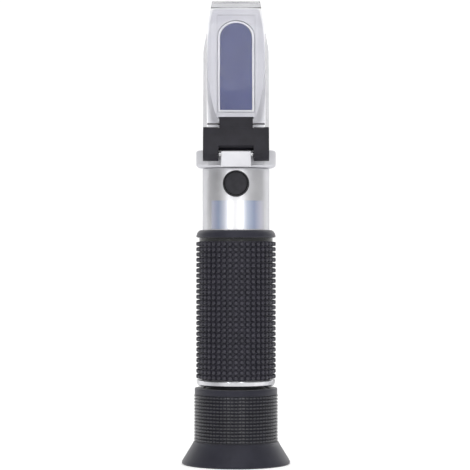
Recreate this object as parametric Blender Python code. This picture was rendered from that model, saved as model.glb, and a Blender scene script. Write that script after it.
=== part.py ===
# Handheld brix refractometer, standing on its eyecup with the lid closed over the prism.
# Metres, +Z up along the optical axis, +X to the right, the hinged lid towards -Y.
# The origin is the centre of the eyecup's flat rim.

import math

import bmesh
import bpy
from mathutils import Matrix, Vector

MM = 0.001

# Clearances
GAP = 0.3 * MM
PIN_GAP = 0.15 * MM
OVERRUN = 2.0 * MM

# Smoothness of round pieces
ROUND_STEPS = 36
INNER_STEPS = 24
SMALL_STEPS = 16
WIRE_SIDES = 6
LENS_STEPS = 4
ARC_STEPS = 10
SHARP_ANGLE = math.radians(35)

# Main tube
TUBE_RADIUS = 12.0 * MM
TUBE_WALL = 1.4 * MM
TUBE_BARE_LENGTH = 21.9 * MM

# Rubber eyecup, from its rim upwards
RIM_RADIUS = 19.5 * MM
RIM_FLAT = 1.0 * MM
RIM_ROUND = 0.6 * MM
RIM_WALL = 1.6 * MM
FLARE_HEIGHT = 8.2 * MM
CUP_FLOOR_THICKNESS = 1.0 * MM
CUP_SHOULDER_WIDTH = 3.0 * MM
EYE_APERTURE_RADIUS = 9.6 * MM
RIB_COUNT = 14
RIB_PITCH = 1.2 * MM
RIB_DEPTH = 0.7 * MM
SLEEVE_WALL = 2.95 * MM
BAND_HEIGHT = 2.3 * MM
BAND_STEP = 0.35 * MM
BAND_BEVEL = 0.3 * MM

# Eyepiece barrel and its glass
BARREL_WALL = 3.5 * MM
BARREL_SHOULDER_DROP = 0.3 * MM
SPIGOT_LENGTH = 18.0 * MM
SPIGOT_WALL = 2.1 * MM
EYE_LEDGE_DEPTH = 7.1 * MM
LEDGE_THICKNESS = 1.0 * MM
LEDGE_WIDTH = 1.0 * MM
LOCK_RING_HEIGHT = 1.9 * MM
LOCK_RING_WIDTH = 0.9 * MM
LENS_EDGE = 2.0 * MM
LENS_BULGE = 1.1 * MM
SPACER_LENGTH = 19.0 * MM
O_RING_WIRE_RADIUS = 0.42 * MM
O_RING_HEIGHT = 6.8 * MM
FOCUS_LEAD = 7.2 * MM
FOCUS_IN_DEGREES = 20.0
FOCUS_OUT_DEGREES = 200.0
GROOVE_END_DEGREES = 12.0
GUIDE_SCREW_RADIUS = 0.8 * MM
GUIDE_SCREW_HEIGHT = 10.8 * MM
GROOVE_FLOOR_WALL = 1.0 * MM
GROOVE_STEPS = 16

# Polished ring at the rear end of the tube
EYEPIECE_REST_GAP = 0.9 * MM
REAR_RING_HEIGHT = 2.1 * MM
REAR_RING_WALL = 1.9 * MM
REAR_RING_LIP = 0.5 * MM
REAR_RING_BEVEL_WIDTH = 1.1 * MM
REAR_RING_BEVEL_HEIGHT = 1.2 * MM
LIP_REACH = 0.2 * MM

# Rubber grip
GRIP_ROWS = 26
GRIP_ROW_PITCH = 1.9 * MM
GRIP_WALL = 2.1 * MM
GRIP_ROW_DEPTH = 0.8 * MM
GRIP_GROOVE_HEIGHT = 1.4 * MM
GRIP_GROOVE_DEPTH = 1.4 * MM
GRIP_LIP_HEIGHT = 2.7 * MM
GRIP_LIP_STEP = 0.5 * MM
GRIP_LIP_ROUND = 0.9 * MM

# Scale disc and light stop inside the tube
RETICLE_CLEARANCE = 1.3 * MM
RETICLE_HOLDER_HEIGHT = 6.2 * MM
RETICLE_HOLDER_WALL = 2.0 * MM
RETICLE_FLOOR = 1.9 * MM
RETICLE_THICKNESS = 1.2 * MM
LIGHT_STOP_HEIGHT = 45.0 * MM
LIGHT_STOP_THICKNESS = 1.2 * MM
LIGHT_STOP_WIDTH = 3.8 * MM

# Objective lens in its adjustable cell
CELL_TOP_CLEARANCE = 0.6 * MM
CELL_HEIGHT = 6.0 * MM
CELL_TRAVEL_ROOM = 2.0 * MM
CELL_WALL = 1.4 * MM
CELL_LOCK_RING_HEIGHT = 1.2 * MM
CARRIER_HEIGHT = 2.8 * MM
CARRIER_WALL = 3.3 * MM
STRIP_THICKNESS = 0.5 * MM
STRIP_WIDTH = 5.0 * MM
STRIP_OVERHANG = 5.0 * MM
STRIP_SCREW_RADIUS = 0.6 * MM
STRIP_SCREW_HEAD_RADIUS = 0.9 * MM
STRIP_SCREW_HEAD_HEIGHT = 0.4 * MM
STRIP_SCREW_LENGTH = 1.0 * MM

# Zero adjuster under its rubber cap
ADJUSTER_DROP = 5.3 * MM
BUSH_RADIUS = 2.8 * MM
BUSH_STAND = 0.6 * MM
BUSH_LENGTH = 2.6 * MM
COUNTERBORE_RADIUS = 2.1 * MM
COUNTERBORE_DEPTH = 1.4 * MM
SCREW_HEAD_HEIGHT = 0.8 * MM
SCREW_RADIUS = 1.1 * MM
SCREW_TIP_INSET = 0.3 * MM
SLOT_WIDTH = 0.45 * MM
SLOT_DEPTH = 0.4 * MM
CLIP_THICKNESS = 0.4 * MM
CLIP_RADIUS = 1.9 * MM
CAP_RADIUS = 4.65 * MM
CAP_THICKNESS = 0.8 * MM
CAP_BEVEL = 0.6 * MM
SPRING_RADIUS = 1.3 * MM
SPRING_WIRE_RADIUS = 0.2 * MM
SPRING_TURNS = 2
SPRING_POINTS_A_TURN = 10
SPRING_SEAT_DEPTH = 0.6 * MM

# Prism head with its collar
HEAD_SPIGOT_LENGTH = 2.4 * MM
HEAD_SPIGOT_WALL = 1.5 * MM
HEAD_WALL = 1.5 * MM
HEAD_TIP_BEVEL = 0.6 * MM
COLLAR_OVERHANG = 2.3 * MM
COLLAR_HEIGHT = 6.2 * MM
COLLAR_BEVEL = 0.7 * MM
HEAD_HEIGHT = 57.6 * MM
SLOPE_DEGREES = 19.5
SLOPE_CROSSING = 39.7 * MM

# Prism and its white seal, with places measured along the slope from where it crosses the axis
PRISM_HALF_WIDTH = 5.6 * MM
PRISM_LOW_END = 20.4 * MM
PRISM_HIGH_END = 13.4 * MM
PRISM_BACK = 6.0 * MM
PRISM_FOOT_HEIGHT = 12.2 * MM
PRISM_FOOT_FRONT = 4.9 * MM
PRISM_RING_HEIGHT = 2.0 * MM
PRISM_RING_WIDTH = 2.4 * MM
SEAL_WIDTH = 0.5 * MM
SEAL_DEPTH = 0.8 * MM

# Lid hinge
HINGE_LEDGE_HEIGHT = 0.7 * MM
HINGE_LEDGE_CLEARANCE = 1.4 * MM
KNUCKLE_RADIUS = 2.4 * MM
HINGE_PIN_RADIUS = 0.9 * MM
HINGE_PIN_INSET = 0.3 * MM
BOSS_HALF_WIDTH = 5.4 * MM
BOSS_FRONT = 1.8 * MM
BOSS_TOP = 1.1 * MM
BOSS_ROUND = 0.7 * MM
BOSS_SIDE_GAP = 0.8 * MM
NOTCH_TOP = 2.8 * MM
LID_OPENING = math.radians(120)
OPEN_LID_GAP = 0.3 * MM
TONGUE_LENGTH = 3.6 * MM
TONGUE_HALF_WIDTH = 5.95 * MM

# Clear lid, with places measured along the slope from where it crosses the axis
LID_THICKNESS = 2.0 * MM
LID_LOW_END = 27.97 * MM
LID_TAPER_START = 1.3 * MM
LID_HIGH_END = 21.4 * MM
LID_TIP_HALF_WIDTH = 8.75 * MM
WING_WALL = 1.1 * MM
WING_DEPTH = 4.0 * MM
LIP_THICKNESS = 1.5 * MM
LIP_DEPTH = 1.2 * MM
PAD_THICKNESS = 0.3 * MM
PAD_HALF_WIDTH = 6.85 * MM
PAD_HIGH_END = 15.5 * MM

# Foil label on the bare tube, right of the middle as the photograph shows
LABEL_THICKNESS = 0.2 * MM
LABEL_HEIGHT = 10.1 * MM
LABEL_LEFT_DEGREES = 46.0
LABEL_RIGHT_DEGREES = 55.5
LABEL_STEPS = 12

# Radii that follow
tube_bore = TUBE_RADIUS - TUBE_WALL
sliding_radius = tube_bore - GAP
sleeve_bore = TUBE_RADIUS
sleeve_radius = sleeve_bore + SLEEVE_WALL
barrel_radius = sleeve_bore - GAP
barrel_bore = barrel_radius - BARREL_WALL
glass_radius = barrel_bore - GAP
grip_bore = TUBE_RADIUS + GAP
grip_radius = grip_bore + GRIP_WALL
ring_bore = TUBE_RADIUS + GAP
ring_radius = ring_bore + REAR_RING_WALL
head_bore = sliding_radius - HEAD_SPIGOT_WALL
head_radius = head_bore + HEAD_WALL
collar_radius = TUBE_RADIUS + COLLAR_OVERHANG
cell_radius = sliding_radius - CELL_TRAVEL_ROOM
cell_bore = cell_radius - CELL_WALL
cell_glass_radius = cell_bore - GAP

# Heights that follow, from the eyecup's rim upwards
cup_floor = FLARE_HEIGHT + CUP_FLOOR_THICKNESS
barrel_bottom = cup_floor + GAP
eyecup_top = FLARE_HEIGHT + RIB_COUNT * RIB_PITCH + BAND_HEIGHT
barrel_shoulder = eyecup_top - BARREL_SHOULDER_DROP
barrel_top = barrel_shoulder + SPIGOT_LENGTH
ring_bottom = eyecup_top + EYEPIECE_REST_GAP
ring_top = ring_bottom + REAR_RING_HEIGHT
tube_bottom = ring_bottom + REAR_RING_LIP + GAP
grip_bottom = ring_top + GAP
grip_rows_top = grip_bottom + GRIP_ROWS * GRIP_ROW_PITCH
grip_lip_bottom = grip_rows_top + GRIP_GROOVE_HEIGHT
grip_top = grip_lip_bottom + GRIP_LIP_HEIGHT
tube_top = grip_top + TUBE_BARE_LENGTH
collar_bottom = tube_top + GAP
collar_top = collar_bottom + COLLAR_HEIGHT
head_top = collar_bottom + HEAD_HEIGHT
slope_crossing = collar_bottom + SLOPE_CROSSING
prism_foot = collar_bottom + PRISM_FOOT_HEIGHT
cell_top = collar_bottom - HEAD_SPIGOT_LENGTH - CELL_TOP_CLEARANCE
cell_bottom = cell_top - CELL_HEIGHT
carrier_top = cell_bottom - GAP
carrier_bottom = carrier_top - CARRIER_HEIGHT
adjuster_height = tube_top - ADJUSTER_DROP
reticle_bottom = barrel_top + RETICLE_CLEARANCE
light_stop_bottom = tube_bottom + LIGHT_STOP_HEIGHT

# The sloping face: "along" runs up the slope, "out" stands square to it, away from the prism
slope_angle = math.radians(SLOPE_DEGREES)
slope_along = Vector((0, math.sin(slope_angle), math.cos(slope_angle)))
slope_out = Vector((0, -math.cos(slope_angle), math.sin(slope_angle)))
lid_inside = GAP + PAD_THICKNESS
lid_outside = lid_inside + LID_THICKNESS
lid_half_width = head_radius + GAP + WING_WALL

# Hinge pin: its barrel touches the lid's outer plane and clears the ledge in the collar
pin_height = collar_bottom + HINGE_LEDGE_HEIGHT + HINGE_LEDGE_CLEARANCE + KNUCKLE_RADIUS
pin_out = lid_outside - KNUCKLE_RADIUS
pin_depth = (pin_height - slope_crossing) * math.tan(slope_angle) - pin_out / math.cos(slope_angle)
notch_half_width = BOSS_HALF_WIDTH + BOSS_SIDE_GAP
adjuster_face = TUBE_RADIUS + BUSH_STAND


def clear_scene():
    for old in list(bpy.data.objects):
        bpy.data.objects.remove(old)


def finish_material(name, colour, roughness, metallic, alpha=1.0):
    material = bpy.data.materials.new(name)
    material.use_nodes = True
    shader = material.node_tree.nodes["Principled BSDF"]
    shader.inputs["Base Color"].default_value = (*colour, 1.0)
    shader.inputs["Roughness"].default_value = roughness
    shader.inputs["Metallic"].default_value = metallic
    shader.inputs["Alpha"].default_value = alpha
    return material


def add_object(name, mesh_builder, material=None):
    """Turns a finished bmesh into an object, with smooth round faces and sharp corners."""
    bmesh.ops.recalc_face_normals(mesh_builder, faces=mesh_builder.faces)
    mesh = bpy.data.meshes.new(name)
    mesh_builder.to_mesh(mesh)
    mesh_builder.free()
    mesh.shade_smooth()
    mesh.set_sharp_from_angle(angle=SHARP_ANGLE)
    piece = bpy.data.objects.new(name, mesh)
    bpy.context.scene.collection.objects.link(piece)
    if material:
        piece.data.materials.append(material)
    return piece


def turned(name, profile, material=None, steps=ROUND_STEPS):
    """Spins a closed outline of (radius, height) points about the Z axis."""
    bm = bmesh.new()
    points = [bm.verts.new((radius, 0, height)) for radius, height in profile]
    edges = [bm.edges.new((points[i - 1], points[i])) for i in range(len(points))]
    on_axis = [edge for edge in edges if all(vert.co.x == 0 for vert in edge.verts)]
    edges = [edge for edge in edges if edge not in on_axis]
    bmesh.ops.delete(bm, geom=on_axis, context="EDGES_FACES")
    points = [vert for vert in bm.verts if vert.is_valid]
    bmesh.ops.spin(
        bm, geom=points + edges, cent=(0, 0, 0), axis=(0, 0, 1),
        angle=math.tau, steps=steps, use_merge=True,
    )
    bmesh.ops.remove_doubles(bm, verts=bm.verts, dist=GAP * 0.01)
    return add_object(name, bm, material)


def extruded(name, outline, push, material=None):
    """Extrudes a flat outline of 3-D points by the vector push."""
    bm = bmesh.new()
    face = bm.faces.new([bm.verts.new(point) for point in outline])
    grown = bmesh.ops.extrude_face_region(bm, geom=[face])
    moved = [item for item in grown["geom"] if isinstance(item, bmesh.types.BMVert)]
    bmesh.ops.translate(bm, verts=moved, vec=push)
    return add_object(name, bm, material)


def box(name, low, high, material=None):
    low, high = Vector(low), Vector(high)
    corners = [(low.x, low.y), (high.x, low.y), (high.x, high.y), (low.x, high.y)]
    outline = [(x, y, low.z) for x, y in corners]
    return extruded(name, outline, (0, 0, high.z - low.z), material)


def rod(name, radius, start, end, material=None, steps=SMALL_STEPS):
    """A round bar from the point start to the point end."""
    start, end = Vector(start), Vector(end)
    bm = bmesh.new()
    bmesh.ops.create_cone(
        bm, cap_ends=True, segments=steps, radius1=radius, radius2=radius, depth=(end - start).length
    )
    turn = (end - start).to_track_quat("Z", "Y").to_matrix().to_4x4()
    bmesh.ops.transform(bm, matrix=Matrix.Translation((start + end) / 2) @ turn, verts=bm.verts)
    return add_object(name, bm, material)


def combine(piece, other, operation):
    """Adds a Boolean with a helper object, which is hidden from renders."""
    other.hide_render = True
    other.display_type = "WIRE"
    modifier = piece.modifiers.new(operation.lower(), "BOOLEAN")
    modifier.operation = operation
    modifier.object = other
    return piece


def cut(piece, *cutters):
    for cutter in cutters:
        combine(piece, cutter, "DIFFERENCE")
    return piece


def on_slope(across, along, out):
    """The point at these distances from where the sloping face crosses the optical axis."""
    origin = Vector((0, 0, slope_crossing))
    return origin + Vector((across, 0, 0)) + slope_along * along + slope_out * out


def slope_slab(name, outline, low, high, material=None):
    """Extrudes an outline of (across, along) points from out = low to out = high."""
    return extruded(name, [on_slope(x, s, low) for x, s in outline], slope_out * (high - low), material)


def arched_outline(half_width, low_end, high_end):
    """A strip on the slope with a square low end and a half-round high end."""
    centre = high_end - half_width
    arch = []
    for i in range(ARC_STEPS + 1):
        turn = math.pi * i / ARC_STEPS
        arch.append((half_width * math.cos(turn), centre + half_width * math.sin(turn)))
    return [(-half_width, low_end), (half_width, low_end), *arch]


def ring(name, inner, outer, bottom, top, material, steps=INNER_STEPS):
    return turned(name, [(inner, bottom), (outer, bottom), (outer, top), (inner, top)], material, steps)


def lens(name, radius, bottom, edge, bulge, material):
    """A glass lens with a flat edge and a spherical cap on each side, with its edge starting at bottom."""
    top = bottom + edge
    under = []
    over = []
    for i in range(LENS_STEPS + 1):
        share = i / LENS_STEPS
        rise = bulge * (1 - share * share)
        under.append((radius * share, bottom - rise))
        over.append((radius * share, top + rise))
    return turned(name, under + over[::-1], material, INNER_STEPS)


def make_materials():
    return {
        "satin": finish_material("satin_metal", (0.78, 0.78, 0.80), 0.35, 1.0),
        "polished": finish_material("polished_metal", (0.86, 0.86, 0.88), 0.12, 1.0),
        "steel": finish_material("steel", (0.62, 0.62, 0.64), 0.25, 1.0),
        "brass": finish_material("brass", (0.78, 0.60, 0.30), 0.3, 1.0),
        "rubber": finish_material("black_rubber", (0.035, 0.035, 0.042), 0.6, 0.0),
        "plastic": finish_material("black_plastic", (0.04, 0.04, 0.045), 0.5, 0.0),
        "anodised": finish_material("black_anodised", (0.03, 0.03, 0.032), 0.45, 0.6),
        "acrylic": finish_material("clear_acrylic", (0.90, 0.91, 0.94), 0.06, 0.0, 0.35),
        "blue_glass": finish_material("blue_glass", (0.16, 0.18, 0.33), 0.08, 0.0, 0.9),
        "glass": finish_material("lens_glass", (0.85, 0.90, 0.92), 0.03, 0.0, 0.4),
        "seal": finish_material("white_seal", (0.86, 0.86, 0.90), 0.5, 0.0),
        "foil": finish_material("foil", (0.82, 0.83, 0.88), 0.2, 1.0),
        "bimetal": finish_material("bimetal", (0.66, 0.52, 0.38), 0.35, 1.0),
    }


def make_eyecup(finish):
    flare_top_radius = sleeve_radius + BAND_BEVEL
    rim_inner = RIM_RADIUS - RIM_ROUND - RIM_FLAT
    shoulder_radius = EYE_APERTURE_RADIUS + CUP_SHOULDER_WIDTH
    profile = [
        (rim_inner, 0),
        (RIM_RADIUS - RIM_ROUND, 0),
        (RIM_RADIUS, RIM_ROUND),
        (flare_top_radius, FLARE_HEIGHT),
    ]
    for row in range(RIB_COUNT):
        low = FLARE_HEIGHT + row * RIB_PITCH
        profile.append((sleeve_radius - RIB_DEPTH, low + RIB_PITCH / 4))
        profile.append((sleeve_radius, low + RIB_PITCH * 3 / 4))
    ribs_top = FLARE_HEIGHT + RIB_COUNT * RIB_PITCH
    band_radius = sleeve_radius - BAND_STEP
    profile += [
        (band_radius, ribs_top + RIB_PITCH / 4),
        (band_radius, eyecup_top - BAND_BEVEL),
        (band_radius - BAND_BEVEL, eyecup_top),
        (sleeve_bore, eyecup_top),
        (sleeve_bore, cup_floor),
        (EYE_APERTURE_RADIUS, cup_floor),
        (EYE_APERTURE_RADIUS, FLARE_HEIGHT),
        (shoulder_radius, FLARE_HEIGHT - CUP_FLOOR_THICKNESS),
    ]
    return turned("eyecup", profile, finish["rubber"])


def make_eyepiece_barrel(finish):
    """Barrel with a seat for the eye lens, a seal groove and the helical slot that drives the focus."""
    ledge_bottom = barrel_bottom + EYE_LEDGE_DEPTH
    ledge_top = ledge_bottom + LEDGE_THICKNESS
    ledge_bore = barrel_bore - LEDGE_WIDTH
    seal_floor = sliding_radius - 2 * O_RING_WIRE_RADIUS - GAP
    seal_bottom = barrel_shoulder + O_RING_HEIGHT - O_RING_WIRE_RADIUS - GAP
    seal_top = barrel_shoulder + O_RING_HEIGHT + O_RING_WIRE_RADIUS + GAP
    profile = [
        (barrel_bore, barrel_bottom),
        (barrel_radius, barrel_bottom),
        (barrel_radius, barrel_shoulder),
        (sliding_radius, barrel_shoulder),
        (sliding_radius, seal_bottom),
        (seal_floor, seal_bottom),
        (seal_floor, seal_top),
        (sliding_radius, seal_top),
        (sliding_radius, barrel_top),
        (barrel_bore, barrel_top),
        (barrel_bore, ledge_top),
        (ledge_bore, ledge_top),
        (ledge_bore, ledge_bottom),
        (barrel_bore, ledge_bottom),
    ]
    barrel = turned("eyepiece_barrel", profile, finish["anodised"])
    return cut(barrel, helical_slot_cutter())


def helical_slot_cutter():
    """The path of the guide screw as the barrel turns out and in, starting at the back of the tube."""
    half = GUIDE_SCREW_RADIUS + GAP
    inner = barrel_bore + GROOVE_FLOOR_WALL
    outer = tube_bore + OVERRUN
    height = barrel_shoulder + GUIDE_SCREW_HEIGHT
    first = -FOCUS_IN_DEGREES - GROOVE_END_DEGREES
    last = FOCUS_OUT_DEGREES + GROOVE_END_DEGREES
    bm = bmesh.new()
    before = None
    for i in range(GROOVE_STEPS + 1):
        degrees = first + (last - first) * i / GROOVE_STEPS
        angle = math.radians(degrees) + math.pi / 2
        middle = height + FOCUS_LEAD * degrees / 360
        section = []
        for radius, level in [(inner, -half), (outer, -half), (outer, half), (inner, half)]:
            section.append(bm.verts.new((radius * math.cos(angle), radius * math.sin(angle), middle + level)))
        if before is None:
            bm.faces.new(section)
        else:
            for k in range(4):
                bm.faces.new((before[k - 1], before[k], section[k], section[k - 1]))
        before = section
    bm.faces.new(before)
    return add_object("helical_slot_cutter", bm)


def make_eyepiece_glass(finish):
    ledge_bottom = barrel_bottom + EYE_LEDGE_DEPTH
    ledge_top = ledge_bottom + LEDGE_THICKNESS
    eye_edge_bottom = ledge_bottom - GAP - LENS_EDGE
    lock_top = eye_edge_bottom - GAP
    lock_bore = glass_radius - LOCK_RING_WIDTH
    spacer_bottom = ledge_top + GAP
    spacer_top = spacer_bottom + SPACER_LENGTH
    field_bottom = spacer_top + GAP
    field_lock_bottom = field_bottom + LENS_EDGE + GAP
    return [
        lens("eye_lens", glass_radius, eye_edge_bottom, LENS_EDGE, LENS_BULGE, finish["glass"]),
        ring("eye_lens_lock_ring", lock_bore, glass_radius, lock_top - LOCK_RING_HEIGHT, lock_top, finish["anodised"]),
        ring("lens_spacer", lock_bore, glass_radius, spacer_bottom, spacer_top, finish["anodised"]),
        lens("field_lens", glass_radius, field_bottom, LENS_EDGE, LENS_BULGE, finish["glass"]),
        ring("field_lens_lock_ring", lock_bore, glass_radius, field_lock_bottom,
             field_lock_bottom + LOCK_RING_HEIGHT, finish["anodised"]),
    ]


def make_focus_seal(finish):
    """Round-section seal ring that rides in the barrel's groove and rubs on the tube's bore."""
    middle = sliding_radius - O_RING_WIRE_RADIUS
    height = barrel_shoulder + O_RING_HEIGHT
    profile = []
    for i in range(WIRE_SIDES):
        angle = math.tau * i / WIRE_SIDES
        profile.append((middle + O_RING_WIRE_RADIUS * math.cos(angle), height + O_RING_WIRE_RADIUS * math.sin(angle)))
    return turned("focus_seal_ring", profile, finish["rubber"], INNER_STEPS)


def make_rear_ring(finish):
    profile = [
        (tube_bore + LIP_REACH, ring_bottom),
        (ring_radius - REAR_RING_BEVEL_WIDTH, ring_bottom),
        (ring_radius, ring_bottom + REAR_RING_BEVEL_HEIGHT),
        (ring_radius, ring_top),
        (ring_bore, ring_top),
        (ring_bore, ring_bottom + REAR_RING_LIP),
        (tube_bore + LIP_REACH, ring_bottom + REAR_RING_LIP),
    ]
    return turned("rear_ring", profile, finish["polished"])


def make_grip(finish):
    profile = [(grip_bore, grip_bottom)]
    for row in range(GRIP_ROWS):
        low = grip_bottom + row * GRIP_ROW_PITCH
        profile.append((grip_radius - GRIP_ROW_DEPTH, low))
        profile.append((grip_radius, low + GRIP_ROW_PITCH / 2))
    lip_radius = grip_radius - GRIP_LIP_STEP
    groove_radius = grip_radius - GRIP_GROOVE_DEPTH
    profile += [
        (groove_radius, grip_rows_top),
        (groove_radius, grip_lip_bottom),
        (lip_radius, grip_lip_bottom),
        (lip_radius, grip_top - GRIP_LIP_ROUND),
        (lip_radius - GRIP_LIP_ROUND / 3, grip_top - GRIP_LIP_ROUND / 3),
        (lip_radius - GRIP_LIP_ROUND, grip_top),
        (grip_bore, grip_top),
    ]
    return turned("grip_sleeve", profile, finish["rubber"])


def make_main_tube(finish):
    tube = ring("main_tube", tube_bore, TUBE_RADIUS, tube_bottom, tube_top, finish["satin"], ROUND_STEPS)
    screw_height = barrel_shoulder + GUIDE_SCREW_HEIGHT
    guide_hole = rod(
        "guide_hole_cutter", GUIDE_SCREW_RADIUS + PIN_GAP,
        (0, tube_bore - OVERRUN, screw_height), (0, TUBE_RADIUS + OVERRUN, screw_height),
    )
    bush_hole = rod(
        "bush_hole_cutter", BUSH_RADIUS + GAP,
        (0, -TUBE_RADIUS - OVERRUN, adjuster_height), (0, 0, adjuster_height),
    )
    return cut(tube, guide_hole, bush_hole)


def make_guide_screw(finish):
    height = barrel_shoulder + GUIDE_SCREW_HEIGHT
    tip = barrel_bore + GROOVE_FLOOR_WALL + GAP
    return rod("guide_screw", GUIDE_SCREW_RADIUS, (0, tip, height), (0, TUBE_RADIUS, height), finish["steel"])


def make_reticle(finish):
    holder_bore = sliding_radius - RETICLE_HOLDER_WALL
    floor_bore = holder_bore - LEDGE_WIDTH
    floor_top = reticle_bottom + RETICLE_FLOOR
    holder_top = reticle_bottom + RETICLE_HOLDER_HEIGHT
    profile = [
        (floor_bore, reticle_bottom),
        (sliding_radius, reticle_bottom),
        (sliding_radius, holder_top),
        (holder_bore, holder_top),
        (holder_bore, floor_top),
        (floor_bore, floor_top),
    ]
    disc_radius = holder_bore - GAP
    disc_bottom = floor_top + GAP
    disc_top = disc_bottom + RETICLE_THICKNESS
    disc_profile = [(0, disc_bottom), (disc_radius, disc_bottom), (disc_radius, disc_top), (0, disc_top)]
    lock_bottom = disc_top + GAP
    return [
        turned("reticle_holder", profile, finish["anodised"], INNER_STEPS),
        turned("reticle_disc", disc_profile, finish["glass"], INNER_STEPS),
        ring("reticle_lock_ring", disc_radius - LOCK_RING_WIDTH, disc_radius, lock_bottom, holder_top,
             finish["brass"]),
    ]


def make_light_stop(finish):
    top = light_stop_bottom + LIGHT_STOP_THICKNESS
    return ring("light_stop", sliding_radius - LIGHT_STOP_WIDTH, sliding_radius, light_stop_bottom, top, finish["anodised"])


def make_cell_carrier(finish):
    """Fixed ring under the lens cell, slotted on its +X side for the bimetal strip."""
    carrier = ring("cell_carrier", sliding_radius - CARRIER_WALL, sliding_radius, carrier_bottom, carrier_top,
                   finish["anodised"])
    strip_face = cell_radius + GAP
    half = STRIP_WIDTH / 2 + GAP
    slot = box(
        "strip_slot_cutter",
        (strip_face - GAP, -half, carrier_bottom - OVERRUN),
        (TUBE_RADIUS + OVERRUN, half, carrier_top + OVERRUN),
    )
    hole = rod(
        "strip_screw_hole_cutter", STRIP_SCREW_RADIUS + PIN_GAP,
        (strip_face - STRIP_SCREW_LENGTH - GAP, 0, (carrier_bottom + carrier_top) / 2),
        (TUBE_RADIUS + OVERRUN, 0, (carrier_bottom + carrier_top) / 2),
    )
    return cut(carrier, slot, hole)


def make_bimetal_strip(finish):
    """Flat strip that bends with warmth and nudges the lens cell, held by one screw to the carrier."""
    face = cell_radius + GAP
    back = face + STRIP_THICKNESS
    middle = (carrier_bottom + carrier_top) / 2
    strip = box(
        "bimetal_strip",
        (face, -STRIP_WIDTH / 2, carrier_bottom),
        (back, STRIP_WIDTH / 2, carrier_top + STRIP_OVERHANG),
        finish["bimetal"],
    )
    hole = rod(
        "strip_hole_cutter", STRIP_SCREW_RADIUS + PIN_GAP,
        (face - OVERRUN, 0, middle), (back + OVERRUN, 0, middle),
    )
    cut(strip, hole)
    screw = rod(
        "bimetal_screw", STRIP_SCREW_RADIUS,
        (face - STRIP_SCREW_LENGTH, 0, middle), (back + PIN_GAP + STRIP_SCREW_HEAD_HEIGHT, 0, middle),
        finish["steel"],
    )
    head = rod(
        "bimetal_screw_head_helper", STRIP_SCREW_HEAD_RADIUS,
        (back + PIN_GAP, 0, middle), (back + PIN_GAP + STRIP_SCREW_HEAD_HEIGHT, 0, middle),
    )
    combine(screw, head, "UNION")
    return [strip, screw]


def make_lens_cell(finish):
    """Cell that slides across the axis, with the objective lens, its lock ring and the spring's seat."""
    ledge_top = cell_bottom + LEDGE_THICKNESS
    ledge_bore = cell_bore - LEDGE_WIDTH
    profile = [
        (ledge_bore, cell_bottom),
        (cell_radius, cell_bottom),
        (cell_radius, cell_top),
        (cell_bore, cell_top),
        (cell_bore, ledge_top),
        (ledge_bore, ledge_top),
    ]
    cell = turned("lens_cell", profile, finish["anodised"], INNER_STEPS)
    screw_hole = rod(
        "cell_screw_hole_cutter", SCREW_RADIUS + PIN_GAP,
        (0, -TUBE_RADIUS, adjuster_height), (0, 0, adjuster_height),
    )
    seat = rod(
        "spring_seat_cutter", SPRING_RADIUS + SPRING_WIRE_RADIUS + GAP,
        (0, cell_radius - SPRING_SEAT_DEPTH, adjuster_height), (0, TUBE_RADIUS, adjuster_height),
    )
    cut(cell, screw_hole, seat)
    lens_bottom = ledge_top + GAP
    lock_bottom = lens_bottom + LENS_EDGE + GAP
    glass = lens("objective_lens", cell_glass_radius, lens_bottom, LENS_EDGE, LENS_BULGE, finish["glass"])
    lock = ring("objective_lock_ring", cell_glass_radius - LOCK_RING_WIDTH, cell_glass_radius, lock_bottom,
                lock_bottom + CELL_LOCK_RING_HEIGHT, finish["brass"])
    return [cell, glass, lock]


def make_return_spring(finish):
    """Coil between the back of the lens cell and the tube's wall, made as one swept wire."""
    first = cell_radius - SPRING_SEAT_DEPTH + GAP + SPRING_WIRE_RADIUS
    last = sliding_radius - SPRING_WIRE_RADIUS
    count = SPRING_TURNS * SPRING_POINTS_A_TURN
    curve = bpy.data.curves.new("return_spring", "CURVE")
    curve.dimensions = "3D"
    curve.bevel_depth = SPRING_WIRE_RADIUS
    curve.bevel_resolution = 1
    curve.use_fill_caps = True
    line = curve.splines.new("POLY")
    line.points.add(count)
    for i, point in enumerate(line.points):
        turn = math.tau * i / SPRING_POINTS_A_TURN
        across = SPRING_RADIUS * math.cos(turn)
        level = adjuster_height + SPRING_RADIUS * math.sin(turn)
        point.co = (across, first + (last - first) * i / count, level, 1)
    piece = bpy.data.objects.new("return_spring", curve)
    bpy.context.scene.collection.objects.link(piece)
    curve.materials.append(finish["steel"])
    pitch = (last - first) / SPRING_TURNS
    print("return spring: gap between turns", round((pitch - 2 * SPRING_WIRE_RADIUS) / MM, 3), "mm")
    return piece


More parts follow.
